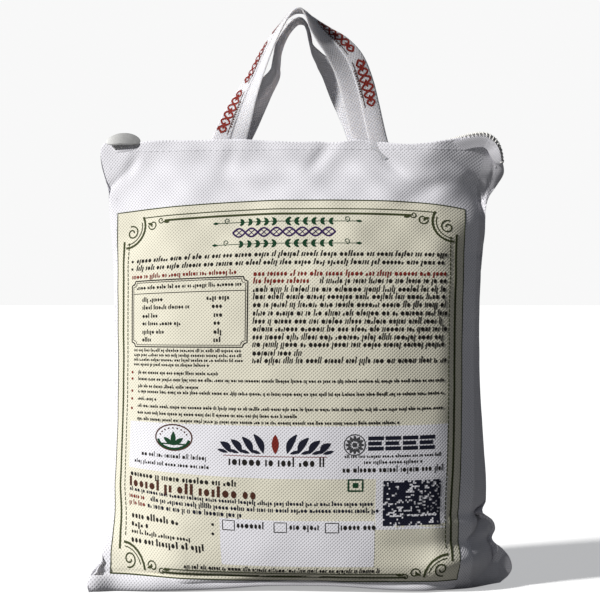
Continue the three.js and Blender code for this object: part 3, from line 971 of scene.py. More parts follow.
def type_line(draw, left, right, middle, size, weight, slant=0.0):
    """A line of posts and seeds that stands in the place of type. size is the height of its low marks."""
    marks = []
    s, base, lean = left, middle - size / 2, 90 - math.degrees(slant)
    while s < right - size:
        for _ in range(draw.randint(2, 7)):
            kind = draw.random()
            if kind < SEED_SHARE:
                width = max(weight * 1.7, size * draw.choice(SEED_WIDTHS))
                marks.append(leaf(s + width / 2, base, size, width, lean, point=SEED_POINT))
            else:
                wide, low, high = next(row for limit, *row in POSTS if kind < limit)
                width = weight * wide
                marks.append(post(s, width, base, slant, low * size, high * size))
            s += width + weight * 0.55 + size * 0.12
            if s > right - weight * 2:
                break
        s += size * WORD_GAP
    return marks


# ---- Print: the front's layout ----
TYPE_SEED = 41
# Blocks of type: ink, size, weight and slant, then each line's left, right and middle height.
TYPE_BLOCKS = (
    ("black", 1.95, 0.58, 0.22, ((-75, 78.6, 165.4), (-75, 78.6, 161.4))),
    ("red", 1.7, 0.5, 0, ((-77.5, -21.3, 157),)),
    ("red", 2, 0.62, 0.16, ((-13.7, 79, 155.8), (-13.7, 15.9, 152.2))),
    ("black", 2.15, 0.45, 0.16, (
        (18, 79, 152.2), (-13.7, 79, 148.1), (-13.7, 79, 144.5), (-13.7, 79, 140.6), (-13.7, 79, 136.5),
        (-13.7, 79, 132.6), (-13.7, 79, 128.8), (-13.7, 79, 124.9), (-13.7, 79, 121.3),
        (-13.7, 12, 117.1), (-13.7, 79, 113.5))),
    ("black", 1.5, 0.42, 0, ((-74.5, -19, 151),)),
    ("black", 1.15, 0.36, 0, (
        (-75.9, -18.3, 118.2), (-75.9, -18.3, 115.8), (-75.9, -18.3, 113.4), (-75.9, -34.4, 111))),
    ("black", 1.25, 0.27, 0, (
        (-73, -29.3, 106.9), (-73, 78, 103.6), (-73, -39, 100), (-73, 78, 97.3), (-73, -61, 93.6),
        (-73, 78, 90), (-73, 7.6, 86.6), (-73, 56.5, 83.4))),
    ("black", 1.8, 0.36, 0, ((-69.5, -34, 64.9),)),
    ("black", 1.5, 0.45, 0, ((-73.9, -31.5, 60.5),)),
    ("black", 1.2, 0.38, 0, ((30.3, 77.2, 67.3),)),
    ("black", 1.3, 0.42, 0, ((39.5, 68.5, 64.4),)),
    ("black", 2.15, 0.45, 0, ((29.4, 78.9, 60.7),)),
    ("black", 2.2, 0.66, 0, ((-76.4, -20, 53),)),
    ("blue", 1.55, 0.46, 0, ((-77, 46.7, 44.3),)),
    ("red", 1.6, 0.46, 0, ((-77.5, -66, 41),)),
    ("blue", 1.65, 0.46, 0, ((-64.5, 46.7, 41),)),
    ("red", 1.6, 0.46, 0, ((-77.8, -68, 37.8),)),
    ("blue", 1.9, 0.4, 0, ((-66.5, -17.6, 37.8),)),
    ("black", 2.15, 0.85, 0, ((-76.6, -49, 31.8), (-76.8, -64.3, 28))),
    ("black", 1.45, 0.6, 0, ((-76.7, -42.3, 24.4),)),
    ("black", 2.15, 0.85, 0, ((-76.9, -33.9, 20.6),)),
    ("black", 1.6, 0.44, 0.2, ((-48.3, 50.3, 11.6),)),
    ("black", 3.1, 0.75, 0, ((-24.4, 22.9, 64),)),
    ("black", 2.3, 0.6, 0, ((-20.7, -5.5, 33), (4.3, 19.8, 33), (28.8, 45, 33))),
    ("brown", 3.7, 1.35, 0, ((-77, -9.5, 47.8),)),
)
# Round dots: ink, way and height.
BULLETS = (
    ("black", -77.5, 165.4), ("black", -77.5, 161.4), ("red", -77, 106.9), ("red", -77, 103.6),
    ("red", -77, 97.4), ("red", -77, 93.4), ("red", -77, 88.5), ("black", -32.5, 32.6),
    ("black", -32.5, 28.1),
)
BULLET_RADIUS = 0.65
# The table's rows: height, and how long the label and the value are.
FACTS = (
    (144.5, 11, 12), (140.4, 24, 6.5), (136, 8.5, 4.4), (132, 19, 4.4), (127.6, 11.5, 4.4),
    (123.5, 5.5, 4.4),
)
FACT_LEFT, FACT_VALUE_MIDDLE = -70.9, -30.5
CHECK_BOXES = ((-27.6, -21.9), (-3, 2.9), (21.5, 27.8))
# The frame's corners: which way is up, height, ring, and middles of the inner and the outer curl.
CORNERS = (
    (1, 190, (2.4, 6.8, 10.3, 94, -30), (5.2, 9.4), (17.4, 6.3)),
    (-1, 7.6, (2.8, 0.2, 11.4, 91, 2), (5.8, 4.6), (18.8, 2.8)),
)
# How far round the corners, the upright rules and the rows of ticks lie, and the gap between two bands.
CORNER_WAY, RULE_WAY, TICK_WAY = 84, 83.6, 80.4
BAND_GAP = 1.8
# The white grounds: left, right, bottom and top.
GROUNDS = ((-77.5, 80.1, 56.5, 82), (-29, 45, 13.8, 36.2), (45.4, 81, 32, 56.4))
# The mosaic's field, the size of its cells, their runs, and the share of runs that are dark.
MOSAIC = (48.9, 77.4, 33.8, 55.5)
MOSAIC_CELL = 0.84
MOSAIC_RUNS = (1, 1, 2)
MOSAIC_DARK = 0.76


def corner_marks(s_sign, z_sign, corner_s, corner_z, ring, inner, outer):
    """One corner's flourish: a band that bows inwards round part of a ring, with curls on either side.

    ring is its middle, radius, and first and last angle. inner and outer are the middles of the curls.
    All of them count from the corner, inwards along the field and then inwards in height.
    """
    def put(points):
        return [(corner_s - s_sign * a, corner_z - z_sign * b) for a, b in points]

    a, b, radius, first, last = ring
    marks = [
        ribbon(put(arc(a, b, radius, first, last)), 1.1),
        ribbon(put(arc(a, b, radius - BAND_GAP, first - 4, last + 14)), 0.5),
        ribbon(put(curl(*inner, 3.7, 250, 1.3)), 0.7),
        ribbon(put(curl(*outer, 2.7, 180, -1.2)), 0.6),
        ribbon(put(curl(outer[0] + 4.6, outer[1] - 2, 1.7, 20, 1.1)), 0.5),
    ]
    for foot, angle in ((outer, 200), ((outer[0] + 6, outer[1] - 1.2), 10)):
        start, tip = put((foot, polar(*foot, 1, angle)))
        marks.append(leaf(*start, 3.4, 1.3, math.degrees(math.atan2(tip[1] - start[1], tip[0] - start[0]))))
    return marks


def frame_marks():
    """The olive rules round the field, with a flourish at each corner."""
    marks = frame_box(-LABEL_HALF + 0.2, LABEL_HALF - 0.2, LABEL_BOTTOM + 0.2, LABEL_TOP - 0.2, 0.5)
    marks += [
        ribbon(((-72.5, 187.8), (73, 187.8)), 0.45),
        ribbon(((-60, 185.4), (61, 185.4)), 1),
        ribbon(((-RULE_WAY, 176.5), (-RULE_WAY, 16)), 1.1),
        ribbon(((RULE_WAY, 177), (RULE_WAY, 16)), 1.1),
        ribbon(((-60, 8.1), (61, 8.1)), 0.9),
        ribbon(((-59, 10), (60, 10)), 0.4),
    ]
    for s in (-TICK_WAY, TICK_WAY):
        marks += [box(s - 0.25, s + 0.25, z, z + 1.7) for z in np.arange(22, 174, 2.3)]
    for s_sign in (-1, 1):
        for z_sign, corner_z, ring, inner, outer in CORNERS:
            marks += corner_marks(s_sign, z_sign, s_sign * CORNER_WAY, corner_z, ring, inner, outer)
    return marks


def sprig_marks(middle, z):
    """A row of small paired leaves along a fine stem."""
    marks = [ribbon(((middle - 33.8, z), (middle + 33.8, z)), 0.28)]
    for i in range(-5, 6):
        s = middle + i * 4.1
        size = 3.4 - 0.14 * abs(i)
        heading = 0 if i >= 0 else 180
        for turn in (38, -38):
            marks.append(leaf(s, z, size, 1.35, heading + turn))
        marks.append(leaf(s, z, size * 0.8, 1.1, heading))
    for end in (-1, 1):
        marks.append(ribbon([(middle + end * a, b) for a, b in curl(29, z + 1.1, 1.5, 270, 1.1)], 0.3))
        marks.append(leaf(middle + end * 33.2, z, 3, 1.2, 90 - end * 90))
    return marks


def braid_marks(left, right, middle, swing, pitch, width):
    """Two strands that cross at every half pitch."""
    s = np.linspace(left, right, round((right - left) / pitch * 16) + 1)
    marks = []
    for phase in (0, math.pi):
        z = middle + swing * np.sin((s - left) / pitch * 2 * math.pi + phase)
        marks.append(ribbon(np.stack((s, z), axis=-1), width))
    return marks


def garland_marks(left, right, middle):
    """Bold leaves that rise to both sides of a gap in the middle."""
    centre = (left + right) / 2
    marks = []
    for end in (-1, 1):
        for i in range(4):
            s = centre + end * (5.6 + i * 5.2)
            lean = 90 - end * (26 + 6 * i)
            marks.append(leaf(s, middle - 4.4, 10.6 - 1.1 * i, 3.3, lean, bend=end * 0.9))
            marks.append(leaf(s + end * 1.2, middle - 4.4, 5.4, 1.7, 90 - end * 74))
    return marks


def rosette_marks(s, z, radius, petals):
    marks = [ribbon(arc(s, z, radius, 0, 360), 0.5), disc(s, z, radius * 0.24)]
    for i in range(petals):
        angle = 360 / petals * i
        marks.append(leaf(*polar(s, z, radius * 0.3, angle), radius * 0.62, radius * 0.3, angle))
    return marks


def fact_table_marks(draw):
    """A small table: a double outline with cut-back corners, a rule under its heading and six rows."""
    marks = frame_box(-77.5, -16.2, 120.1, 154.8, 0.55, notch=2.2)
    marks += frame_box(-76.5, -17.2, 121.1, 153.8, 0.28, notch=2.2)
    marks.append(ribbon(((-76.1, 148), (-17.1, 148)), 0.35))
    for z, label, value in FACTS:
        marks += type_line(draw, FACT_LEFT, FACT_LEFT + label * 1.15, z, 1.6, 0.48)
        marks += type_line(draw, FACT_VALUE_MIDDLE - value / 2, FACT_VALUE_MIDDLE + value / 2, z, 1.8, 0.6)
    return marks


def mosaic_marks(draw):
    """Dark cells in no order, in short runs along rows."""
    left, right, bottom, top = MOSAIC
    columns, rows = round((right - left) / MOSAIC_CELL), round((top - bottom) / MOSAIC_CELL)
    wide, tall = (right - left) / columns, (top - bottom) / rows
    marks = []
    for row in range(rows):
        z, column = bottom + row * tall, 0
        while column < columns:
            run = min(draw.choice(MOSAIC_RUNS), columns - column)
            if draw.random() < MOSAIC_DARK:
                marks.append(box(left + column * wide, left + (column + run) * wide, z, z + tall * 0.98))
            column += run
    return marks


def badge_marks():
    """A ringed sprig of three leaves: its brown parts and its green ones."""
    s, z = -51.9, 74.8
    brown = [ribbon(arc(s, z, 9.5, 0, 360, tall=0.7), 0.7)]
    brown += [disc(*polar(s, z, 7.2, turn, tall=0.68), 0.42) for turn in range(20, 165, 18)]
    green = [ribbon(arc(s, z - 0.2, 8.2, 190, 350, tall=0.7), 1.3)]
    green += [leaf(s, z - 4.2, 7.4, 2.6, 90), leaf(s, z - 4, 6.4, 2.4, 38), leaf(s, z - 4, 6.4, 2.4, 142)]
    green.append(ribbon(((s - 6, z - 3.4), (s + 6, z - 3.4)), 0.7))
    return brown, green


def print_layout():
    """Every mark on the front, by ink."""
    draw = random.Random(TYPE_SEED)
    inks = {name: [] for name in ("black", "red", "brown", "blue", "green", "olive", "violet", "grey")}
    for name, *form, lines in TYPE_BLOCKS:
        for line in lines:
            inks[name] += type_line(draw, *line, *form)
    for name, s, z in BULLETS:
        inks[name].append(disc(s, z, BULLET_RADIUS))
    inks["black"] += fact_table_marks(draw)
    inks["blue"] += mosaic_marks(draw)
    for left, right in CHECK_BOXES:
        inks["black"] += frame_box(left, right, 30.6, 35.2, 0.4)
    for i in range(4):
        left = 41.3 + i * 8.25
        inks["blue"] += [box(left, left + 7.4 - j % 2, 70.2 + j * 2.5, 72 + j * 2.5) for j in range(3)]
    inks["olive"] += frame_marks()
    for z in (181.7, 170.8):
        inks["green"] += sprig_marks(1.4, z)
    for swing, pitch, width in ((2.1, 12.4, 0.8), (1.1, 6.2, 0.35)):
        inks["violet"] += braid_marks(-24.6, 25.1, 176.5, swing, pitch, width)
    brown, green = badge_marks()
    inks["brown"] += brown
    inks["green"] += green + frame_box(32.2, 39, 50.8, 56.2, 0.8) + [box(34.3, 36.9, 52.3, 54.7)]
    inks["blue"] += garland_marks(-27.9, 23.2, 73)
    inks["red"] += [leaf(-2.35, 68.4, 9.6, 3.4, 90), ribbon(((-27, 67.2), (22, 67.2)), 0.3)]
    inks["grey"] += rosette_marks(35, 73, 5, 12)
    return inks


INK_COLOURS = {
    "black": (0.016, 0.014, 0.012),
    "red": (0.2, 0.022, 0.016),
    "brown": (0.075, 0.026, 0.016),
    "blue": (0.011, 0.012, 0.026),
    "green": (0.008, 0.05, 0.02),
    "olive": (0.05, 0.06, 0.022),
    "violet": (0.035, 0.012, 0.09),
    "grey": (0.06, 0.06, 0.065),
}


class FLOURBAG_OT_print(bpy.types.Operator):
    """Print the front: its white grounds and each ink"""

    bl_idname = "flour_bag.print"
    bl_label = "Print"

    def execute(self, context):
        white = cloth("ground_fabric", context.scene.flour_bag_colours.fabric)
        grounds = [sheet(*bounds) for bounds in GROUNDS]
        make_slabs("print_white", white, on_print, GROUND_THICKNESS, sheets=grounds)
        for name, marks in print_layout().items():
            material = ink(f"{name}_ink", INK_COLOURS[name])
            make_slabs(f"print_{name}", material, on_print, INK_THICKNESS, strips=marks)
        return {"FINISHED"}


# ---- Stitches ----
STITCH_THICKNESS = (0.15, 0.1)
STITCH_WIDTH = 0.5
HEM_STITCH_HEIGHT = 217.6
# How far in from a side seam its stitches lie.
SIDE_STITCH_IN = 4.6


def seam_marks(side):
    """A row of stitches under the top of the hem, and small ones beside each side seam."""
    ways = SURFACE[side][0]
    left, right = ways[round(HEM_STITCH_HEIGHT)][[0, -1]]
    marks = [leaf(s, HEM_STITCH_HEIGHT, 2.6, STITCH_WIDTH, 0) for s in np.arange(left + 8, right - 9, 3.4)]
    for z in np.arange(16, 212, 7.7):
        ends = ways[int(z)][[0, -1]] + (SIDE_STITCH_IN, -SIDE_STITCH_IN)
        marks += [leaf(s, z, 1.5, STITCH_WIDTH, 90) for s in ends]
    return marks


class FLOURBAG_OT_stitches(bpy.types.Operator):
    """Sew the hem and the side seams"""

    bl_idname = "flour_bag.stitches"
    bl_label = "Stitches"

    def execute(self, context):
        thread = cloth("thread", context.scene.flour_bag_colours.fabric, pitch=0.5 * MM)
        for name, side in (("front", FRONT), ("back", BACK)):
            lay = partial(off_wall, side)
            make_slabs(f"stitches_{name}", thread, lay, STITCH_THICKNESS, strips=seam_marks(side))
        return {"FINISHED"}


# ---- Foot seam ----
# The rolled seam along the front's foot: x, its middle's height, its half height, and how far it stands
# out of the foot.
FOOT_SEAM = (
    (-100.4, 4.4, 3.6, -0.2), (-96, 4.2, 4, 0.3), (-86, 3.9, 3.8, 0.5), (-66, 3.6, 3.2, 0.6),
    (-40, 3.2, 2.2, 0.6), (-12, 4.4, 1.6, 0.5), (20, 4.6, 1.4, 0.4), (48, 3.2, 1.8, 0.5),
    (66, 2.8, 1.9, 0.6), (80, 2.4, 1.3, 0.2),
)
# Half of its section's height and of its depth, its steps, and the run over which its ends are rounded.
FOOT_SEAM_HALF, FOOT_SEAM_DEPTH = 3, 1.65
FOOT_SEAM_STEP = 0.9
FOOT_SEAM_ROUND = 1.6


class FLOURBAG_OT_foot_seam(bpy.types.Operator):
    """Roll the seam along the foot of the front"""

    bl_idname = "flour_bag.foot_seam"
    bl_label = "Foot seam"

    def execute(self, context):
        path = []
        for x, z, _, proud in FOOT_SEAM:
            height = np.array([max(1.5, z - lift(FRONT, np.array([float(x)]), np.array([z]))[0])])
            y = bag_point(FRONT, across_at(np.clip(x, -97, 200), height), height)[0, 1]
            path.append((x, y - proud, z, 0))
        frames = path_frames(path, FOOT_SEAM_STEP)
        half = np.interp(frames[0][:, 0], [row[0] for row in FOOT_SEAM], [row[2] for row in FOOT_SEAM])
        swell = half / FOOT_SEAM_HALF * rounded_ends(frames, FOOT_SEAM_ROUND)
        fabric = cloth("seam_fabric", context.scene.flour_bag_colours.fabric)
        swept_piece("foot_seam", frames, oval(FOOT_SEAM_HALF, FOOT_SEAM_DEPTH, 24), swell, fabric)
        return {"FINISHED"}


# ---- Carrying tapes ----
# How far light travels inside the tapes, which are thin enough to let some of it through, and its tint.
TAPE_GLOW = 3 * MM
TAPE_TINT = (1, 0.95, 0.9)
# Points along the middle of each tape: x, y, z, and the tilt of its width out of the front's plane.
FRONT_TAPE = (
    (-36.2, -4.5, 211, 0), (-32.6, -4.5, 223, 5), (-25.6, -4.8, 241, 38), (-19.8, -5.2, 253.5, 56),
    (-14.6, -5.6, 265, 64), (-10, -6, 273.6, 70), (-4.6, -6, 281.6, 78), (-0.2, -5.8, 286, 84),
    (4, -5.6, 286.6, 88), (7.8, -5.4, 283.2, 80), (11.2, -5.2, 278.8, 66), (15.8, -5, 274, 52),
    (21.4, -5, 268.6, 36), (27, -5, 260.6, 18), (30.8, -4.8, 250.4, 8), (33.4, -4.6, 240, 3),
    (37.2, -4.5, 223, 0), (40.4, -4.5, 211, 0),
)
BACK_TAPE = (
    (-35.2, 4.5, 211, 0), (-32.4, 4.5, 223, -4), (-24.6, 5.4, 237, -36), (-17.2, 6.4, 248, -62),
    (-11, 7.4, 256.5, -80), (-10, 8.6, 263, -86), (-9, 11.6, 271, -88), (-5.6, 12.6, 279, -89),
    (-0.6, 12.8, 284.4, -90), (3.4, 12.8, 284, -90), (5.8, 12.2, 278.5, -90), (7.6, 9.8, 270, -86),
    (11.4, 7.6, 264, -74), (17.8, 6.2, 256.5, -54), (24.8, 5.4, 246, -28), (31.2, 4.8, 234, -10),
    (35, 4.5, 223, 0), (37, 4.5, 211, 0),
)
# The steps along a tape, its width and thickness, and how far its flap's edge stands out.
TAPE_STEP = 1.1
TAPE_WIDTH, TAPE_THICKNESS = 17.5, 1.3
FLAP_STEP = 0.45
# How far the ornament's inks reach under a tape's face, and how far they stand over it.
TAPE_INK = (0.2, 0.1)
# The ornament: where its first motif starts, what it leaves free at the far end, its motifs' pitch and the
# gap between them, and its scroll's middle.
ORNAMENT_START, ORNAMENT_FREE = 14.5, 12
MOTIF_PITCH, MOTIF_GAP = 27.4, 4.4
SCROLL_MIDDLE = 4.9


def tape_profile(out):
    """The section of a tape folded in three, whose flap ends along the middle of its outer face."""
    half, thick = TAPE_WIDTH / 2, TAPE_THICKNESS / 2
    face = (
        (0.25 - half, -0.3), (0.8 - half, -0.1), (-half / 2, -0.05), (-0.4, -0.1), (-0.15, FLAP_STEP * 0.8),
        (0.3, FLAP_STEP), (half / 2, FLAP_STEP * 0.5), (half - 0.8, 0.1), (half - 0.2, -0.25),
    )
    under = (
        (half - 0.2, 0.3), (half - 0.9, 0), (half / 2, 0), (0, 0), (-half / 2, 0), (0.9 - half, 0),
        (0.2 - half, 0.3),
    )
    outer, inner = [(a, b + thick) for a, b in face], [(a, b - thick) for a, b in under]
    return [(a, out * b) for a, b in (*outer, (half, 0), *inner, (-half, 0))]


def tape_marks(length):
    """Ornament along a tape's outer half: a knotted scroll, a fine brown rule and a row of ticks."""
    red, brown = [], []
    run = MOTIF_PITCH - MOTIF_GAP
    along = np.linspace(0, run, 45)
    turn = along / run * math.pi
    start = ORNAMENT_START
    while start + MOTIF_PITCH < length - ORNAMENT_FREE:
        for phase in (0, math.pi):
            swing = 2.7 * np.sin(6 * turn + phase) * np.sin(turn) ** 0.3
            red.append(ribbon(np.stack((SCROLL_MIDDLE + swing, start + along), axis=-1), 1))
        for i in range(3):
            red.append(leaf(SCROLL_MIDDLE, start + run * (i + 0.5) / 3 - 2, 4, 1.7, 90))
            red.append(leaf(7.3, start + run * i / 3 + 0.4, 2.6, 1, 90))
        brown.append(ribbon(((1.5, start), (1.5, start + run)), 0.4))
        brown += [box(0.5, 1.1, start + 4 + 1.3 * i, start + 4.7 + 1.3 * i) for i in range(11)]
        start += MOTIF_PITCH
    return red, brown


class FLOURBAG_OT_tapes(bpy.types.Operator):
    """Make both carrying tapes with their ornament"""

    bl_idname = "flour_bag.tapes"
    bl_label = "Carrying tapes"

    def execute(self, context):
        # The tapes' colour is the white cloth darkened by painted shade.
        white = context.scene.flour_bag_colours.tape
        inks = {name: ink(f"tape_{name}_ink", INK_COLOURS[name]) for name in ("red", "brown")}
        for name, path, out in (("front", FRONT_TAPE, 1), ("back", BACK_TAPE, -1)):
            frames = path_frames(path, TAPE_STEP)
            fabric = webbing(f"tape_fabric_{name}", white)
            swept_piece(f"tape_{name}", frames, tape_profile(out), 1.0, fabric, f"handle_{name}")

            def lay(across, along, height, frames=frames, out=out):
                face = TAPE_THICKNESS / 2 + FLAP_STEP * np.interp(across, (0, TAPE_WIDTH / 2), (1, 0))
                return lay_on_path(frames, across, along, out * (face + height))

            for (tint, material), marks in zip(inks.items(), tape_marks(frames[3][-1])):
                make_slabs(f"tape_{name}_{tint}", material, lay, TAPE_INK, strips=marks)
        return {"FINISHED"}


# ---- Zip ----
CHAIN_LEVEL = 218.8
# The chain's line: x, y, and its height over CHAIN_LEVEL.
CHAIN = (
    (-92, 0, 1), (-80, 0, 1.2), (-60, 0, 0.4), (0, 0, -1.4), (46, 0, -1.6), (66, 0, 0.4), (78, 0.3, 3.4),
    (88, 0.8, 6), (94.4, 1.4, 6.2), (99, 2.2, 3.6), (101.6, 3.2, -1), (102.8, 5.2, -7.6),
)
# The coils: their turns' pitch and steps, half width and rise, the wire's radius, and their shift aside.
COIL_PITCH = 1.8
COIL_STEPS = 12
COIL_HALF, COIL_RISE, COIL_WIRE = 1.25, 0.95, 0.42
COIL_ASIDE = 0.95
# The zip's tape: half its width, the web under it, its drop below the coil, its steps and its rounded ends.
ZIP_TAPE_HALF = 2.9
ZIP_WEB, ZIP_WEB_DROP = 1, 5
ZIP_TAPE_DROP, ZIP_TAPE_STEP, ZIP_TAPE_ROUND = 1.4, 1.2, 9
SLIDER_MIDDLE, SLIDER_FLOOR = -85.4, 221.5
SLIDER_LENGTH, SLIDER_WIDTH, SLIDER_PLATE = 12, 8, 1.4
BRIDGE_TOP = 226.5
# The pull: its width, steps and rounded ends, the turn of its face, and how far it lies forward and down.
PULL_WIDTH, PULL_STEP, PULL_ROUND = 7.2, 0.5, 8
PULL_LEAN = 148
PULL_FORWARD, PULL_DROP = 3, 0.8
# The pull's line: x from the slider's middle, and the drop below the top of the bridge.
PULL = ((7.6, 3.6), (5.4, 2.7), (2, 1.8), (-2, 1.6), (-6, 2.3), (-9.8, 3.5))


def zip_line(rise):
    return [(x, y, CHAIN_LEVEL + rise + over, 90) for x, y, over in CHAIN]


def make_coil():
    """Two coils side by side whose turns mesh in the middle."""
    bm = bmesh.new()
    middle, across, out, along = path_frames(zip_line(0), COIL_PITCH / COIL_STEPS)
    for sideways in (-1, 1):
        turn = along / COIL_PITCH * 2 * math.pi + (0 if sideways < 0 else math.pi)
        spread, rise = np.cos(turn)[:, None], np.sin(turn)[:, None]
        points = middle + across * (sideways * COIL_ASIDE + COIL_HALF * spread) + out * COIL_RISE * rise
        tube(bm, points, across * spread * COIL_RISE + out * rise * COIL_HALF, COIL_WIRE, 6)
    close_up(bm)
    return bm


def pull_line():
    return [(SLIDER_MIDDLE + a, -PULL_FORWARD, BRIDGE_TOP - PULL_DROP - drop, PULL_LEAN)
            for a, drop in PULL]


def pull_profile():
    """A domed tab with a raised rim."""
    half = PULL_WIDTH / 2
    rim = [(half, 0), (half - 0.2, 0.5), (half - 0.7, 0.62), (half - 1.1, 0.35), (half - 1.9, 0.42)]
    under = [(half - 0.5, -0.45), (0, -0.3), (0.5 - half, -0.45)]
    return [*((-a, b) for a, b in rim), (0, 0.6), *reversed(rim), *under]


def make_slider():
    """A shield-shaped plate with rounded rims and an arched bridge."""
    bm = bmesh.new()
    plate = bmesh.ops.create_cube(bm, size=1)["verts"]
    bmesh.ops.scale(bm, vec=(SLIDER_LENGTH, SLIDER_WIDTH, SLIDER_PLATE), verts=plate)
    bmesh.ops.subdivide_edges(bm, edges=bm.edges[:], cuts=3, use_grid_fill=True)
    for vert in bm.verts:
        share = abs(vert.co.x) / (SLIDER_LENGTH / 2)
        vert.co.y *= 1 - 0.34 * share**2 - (0.2 if vert.co.x > 0 else 0) * share**3
        vert.co.z -= 0.25 * (vert.co.y / (SLIDER_WIDTH / 2)) ** 2
    rim = [edge for edge in bm.edges if edge.calc_face_angle(0) > math.radians(50)]
    bmesh.ops.bevel(bm, geom=rim, offset=0.4, affect="EDGES", segments=3, profile=0.5, material=-1)
    bmesh.ops.translate(bm, vec=(SLIDER_MIDDLE, 0, SLIDER_FLOOR + SLIDER_PLATE / 2), verts=bm.verts[:])
    bmesh.ops.scale(bm, vec=(MM, MM, MM), verts=bm.verts[:])
    feet = SLIDER_FLOOR + 0.5
    arch = [(SLIDER_MIDDLE + a, 0, z, 90) for a, z in (
        (-3.9, feet), (-3.8, BRIDGE_TOP - 2.2), (-2.6, BRIDGE_TOP - 0.8), (0, BRIDGE_TOP - 0.45),
        (2.6, BRIDGE_TOP - 0.8), (3.8, BRIDGE_TOP - 2.2), (3.9, feet))]
    sweep(bm, path_frames(arch, 0.4), oval(1.2, 0.55, 36))
    close_up(bm)
    return bm


class FLOURBAG_OT_zip(bpy.types.Operator):
    """Make the zip: its tape, coil, slider and pull"""

    bl_idname = "flour_bag.zip"
    bl_label = "Zip"

    def execute(self, context):
        colours = context.scene.flour_bag_colours
        finish_piece(make_coil(), "zip_coil", plastic("coil_nylon", colours.coil), node="zip_chain")
        half = ZIP_TAPE_HALF
        under = [(half * 0.95, -0.7), (half * 0.7, -2.2), (ZIP_WEB, -ZIP_WEB_DROP)]
        section = [(-half, 0.15), (0, 0.3), (half, 0.15), *under, *((-a, b) for a, b in reversed(under))]
        frames = path_frames(zip_line(-ZIP_TAPE_DROP), ZIP_TAPE_STEP)
        fabric = cloth("zip_fabric", colours.fabric, pitch=0.7 * MM)
        swept_piece("zip_tape", frames, section, rounded_ends(frames, ZIP_TAPE_ROUND), fabric)
        grey = metal("slider_metal", colours.metal)
        finish_piece(make_slider(), "slider", grey, node="zip_slider")
        frames = path_frames(pull_line(), PULL_STEP)
        swell = rounded_ends(frames, PULL_ROUND)
        swept_piece("pull", frames, pull_profile(), swell, grey, "zip_pull")
        return {"FINISHED"}


# ---- Stage ----
# The camera's sensor in millimetres, the width it sees at the bag, and the point it looks at, in metres.
SENSOR = 36
FIELD = 0.3
TARGET = (0.0025, 0, 0.143)
FLOOR_SIZE = 40
SKY_TINT = (0.8, 0.87, 1.0, 1)
SUN_TINT = (1, 0.99, 0.975)


def for_camera(tree, seen, cast, out):
    """Shows the camera one shader and lights the scene with another."""
    rays = tree.nodes.new("ShaderNodeLightPath")
    chosen = tree.nodes.new("ShaderNodeMixShader")
    tree.links.new(rays.outputs["Is Camera Ray"], chosen.inputs[0])
    tree.links.new(cast, chosen.inputs[1])
    tree.links.new(seen, chosen.inputs[2])
    tree.links.new(chosen.outputs[0], out)


def make_floor(look):
    bm = bmesh.new()
    bmesh.ops.create_grid(bm, x_segments=1, y_segments=1, size=FLOOR_SIZE)
    mesh = bpy.data.meshes.new("floor")
    bm.to_mesh(mesh)
    bm.free()
    floor = bpy.data.objects.new("floor", mesh)
    paper = Recipe("floor_paint", look.floor, 1.0, Specular_IOR_Level=0.0)
    tree = paper.tree
    glow = paper.add("ShaderNodeEmission", {"Color": (*look.floor, 1), "Strength": look.floor_lift})
    seen = tree.nodes.new("ShaderNodeAddShader")
    tree.links.new(paper.shader.outputs[0], seen.inputs[0])
    tree.links.new(glow.outputs[0], seen.inputs[1])
    cast = paper.add("ShaderNodeBsdfDiffuse", {"Color": (*scaled(look.floor, look.floor_bounce), 1)})
    for_camera(tree, seen.outputs[0], cast.outputs[0], tree.nodes["Material Output"].inputs[0])
    mesh.materials.append(paper.material)
    bpy.context.scene.collection.objects.link(floor)


def make_world(look):
    world = bpy.data.worlds.new("studio")
    world.use_nodes = True
    tree = world.node_tree
    cast = tree.nodes["Background"]
    cast.inputs["Color"].default_value = SKY_TINT
    cast.inputs["Strength"].default_value = look.fill
    seen = tree.nodes.new("ShaderNodeBackground")
    seen.inputs["Color"].default_value = (*look.backdrop, 1)
    for_camera(tree, seen.outputs[0], cast.outputs[0], tree.nodes["World Output"].inputs[0])
    bpy.context.scene.world = world


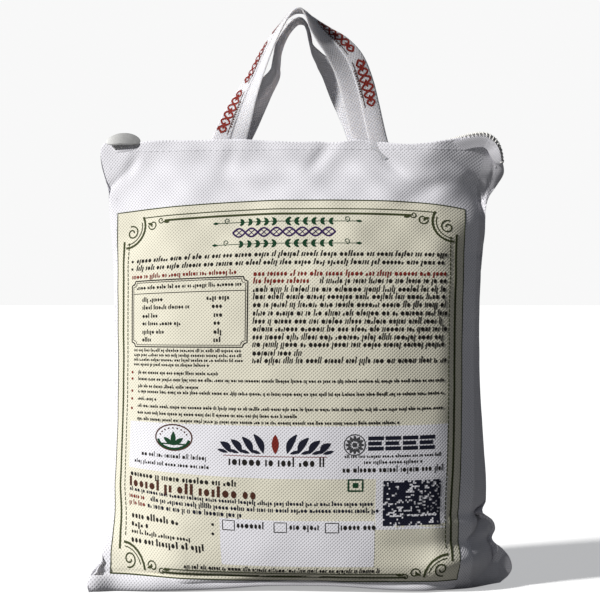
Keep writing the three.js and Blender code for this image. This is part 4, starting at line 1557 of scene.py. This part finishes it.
def make_stage(context):
    scene = context.scene
    look = scene.flour_bag_stage
    scene.view_settings.view_transform = "Standard"
    make_floor(look)
    make_world(look)
    sun = bpy.data.lights.new("key", "SUN")
    sun.energy = look.key
    sun.angle = look.key_softness
    sun.color = SUN_TINT
    lamp = bpy.data.objects.new("key", sun)
    scene.collection.objects.link(lamp)
    turn, rise = look.key_azimuth, look.key_elevation
    way = Vector((math.sin(turn) * math.cos(rise), -math.cos(turn) * math.cos(rise), math.sin(rise)))
    lamp.location = way
    lamp.rotation_euler = (-way).to_track_quat("-Z", "Y").to_euler()

    camera = bpy.data.cameras.new("camera")
    eye = bpy.data.objects.new("camera", camera)
    scene.collection.objects.link(eye)
    camera.sensor_width = SENSOR
    camera.lens = SENSOR * look.distance / FIELD
    away = Vector((math.sin(look.azimuth), -math.cos(look.azimuth), 0))
    eye.location = Vector(TARGET) + away * look.distance
    eye.rotation_euler = Euler((math.pi / 2, 0, look.azimuth), "XYZ")
    scene.camera = eye


class FLOURBAG_OT_stage(bpy.types.Operator):
    """Make the floor, the lights and the camera"""

    bl_idname = "flour_bag.stage"
    bl_label = "Stage"

    def execute(self, context):
        make_stage(context)
        return {"FINISHED"}


PIECE_OPERATORS = (
    FLOURBAG_OT_bag, FLOURBAG_OT_print, FLOURBAG_OT_stitches, FLOURBAG_OT_foot_seam, FLOURBAG_OT_tapes,
    FLOURBAG_OT_zip,
)
CLASSES = (BagColours, StageLook, *PIECE_OPERATORS, FLOURBAG_OT_stage)


class FLOURBAG_PT_panel(bpy.types.Panel):
    """Lists the bag's pieces"""

    bl_label = "Flour Bag"
    bl_idname = "FLOURBAG_PT_panel"
    bl_space_type = "VIEW_3D"
    bl_region_type = "UI"
    bl_category = "Flour Bag"

    def draw(self, context):
        for operator in (*PIECE_OPERATORS, FLOURBAG_OT_stage):
            self.layout.operator(operator.bl_idname)


def register():
    for cls in (*CLASSES, FLOURBAG_PT_panel):
        bpy.utils.register_class(cls)
    bpy.types.Scene.flour_bag_colours = bpy.props.PointerProperty(type=BagColours)
    bpy.types.Scene.flour_bag_stage = bpy.props.PointerProperty(type=StageLook)


def unregister():
    del bpy.types.Scene.flour_bag_colours
    del bpy.types.Scene.flour_bag_stage
    for cls in reversed((*CLASSES, FLOURBAG_PT_panel)):
        bpy.utils.unregister_class(cls)


def main():
    register()
    for operator in (*PIECE_OPERATORS, FLOURBAG_OT_stage):
        group, name = operator.bl_idname.split(".")
        getattr(getattr(bpy.ops, group), name)()


if __name__ == "__main__":
    main()
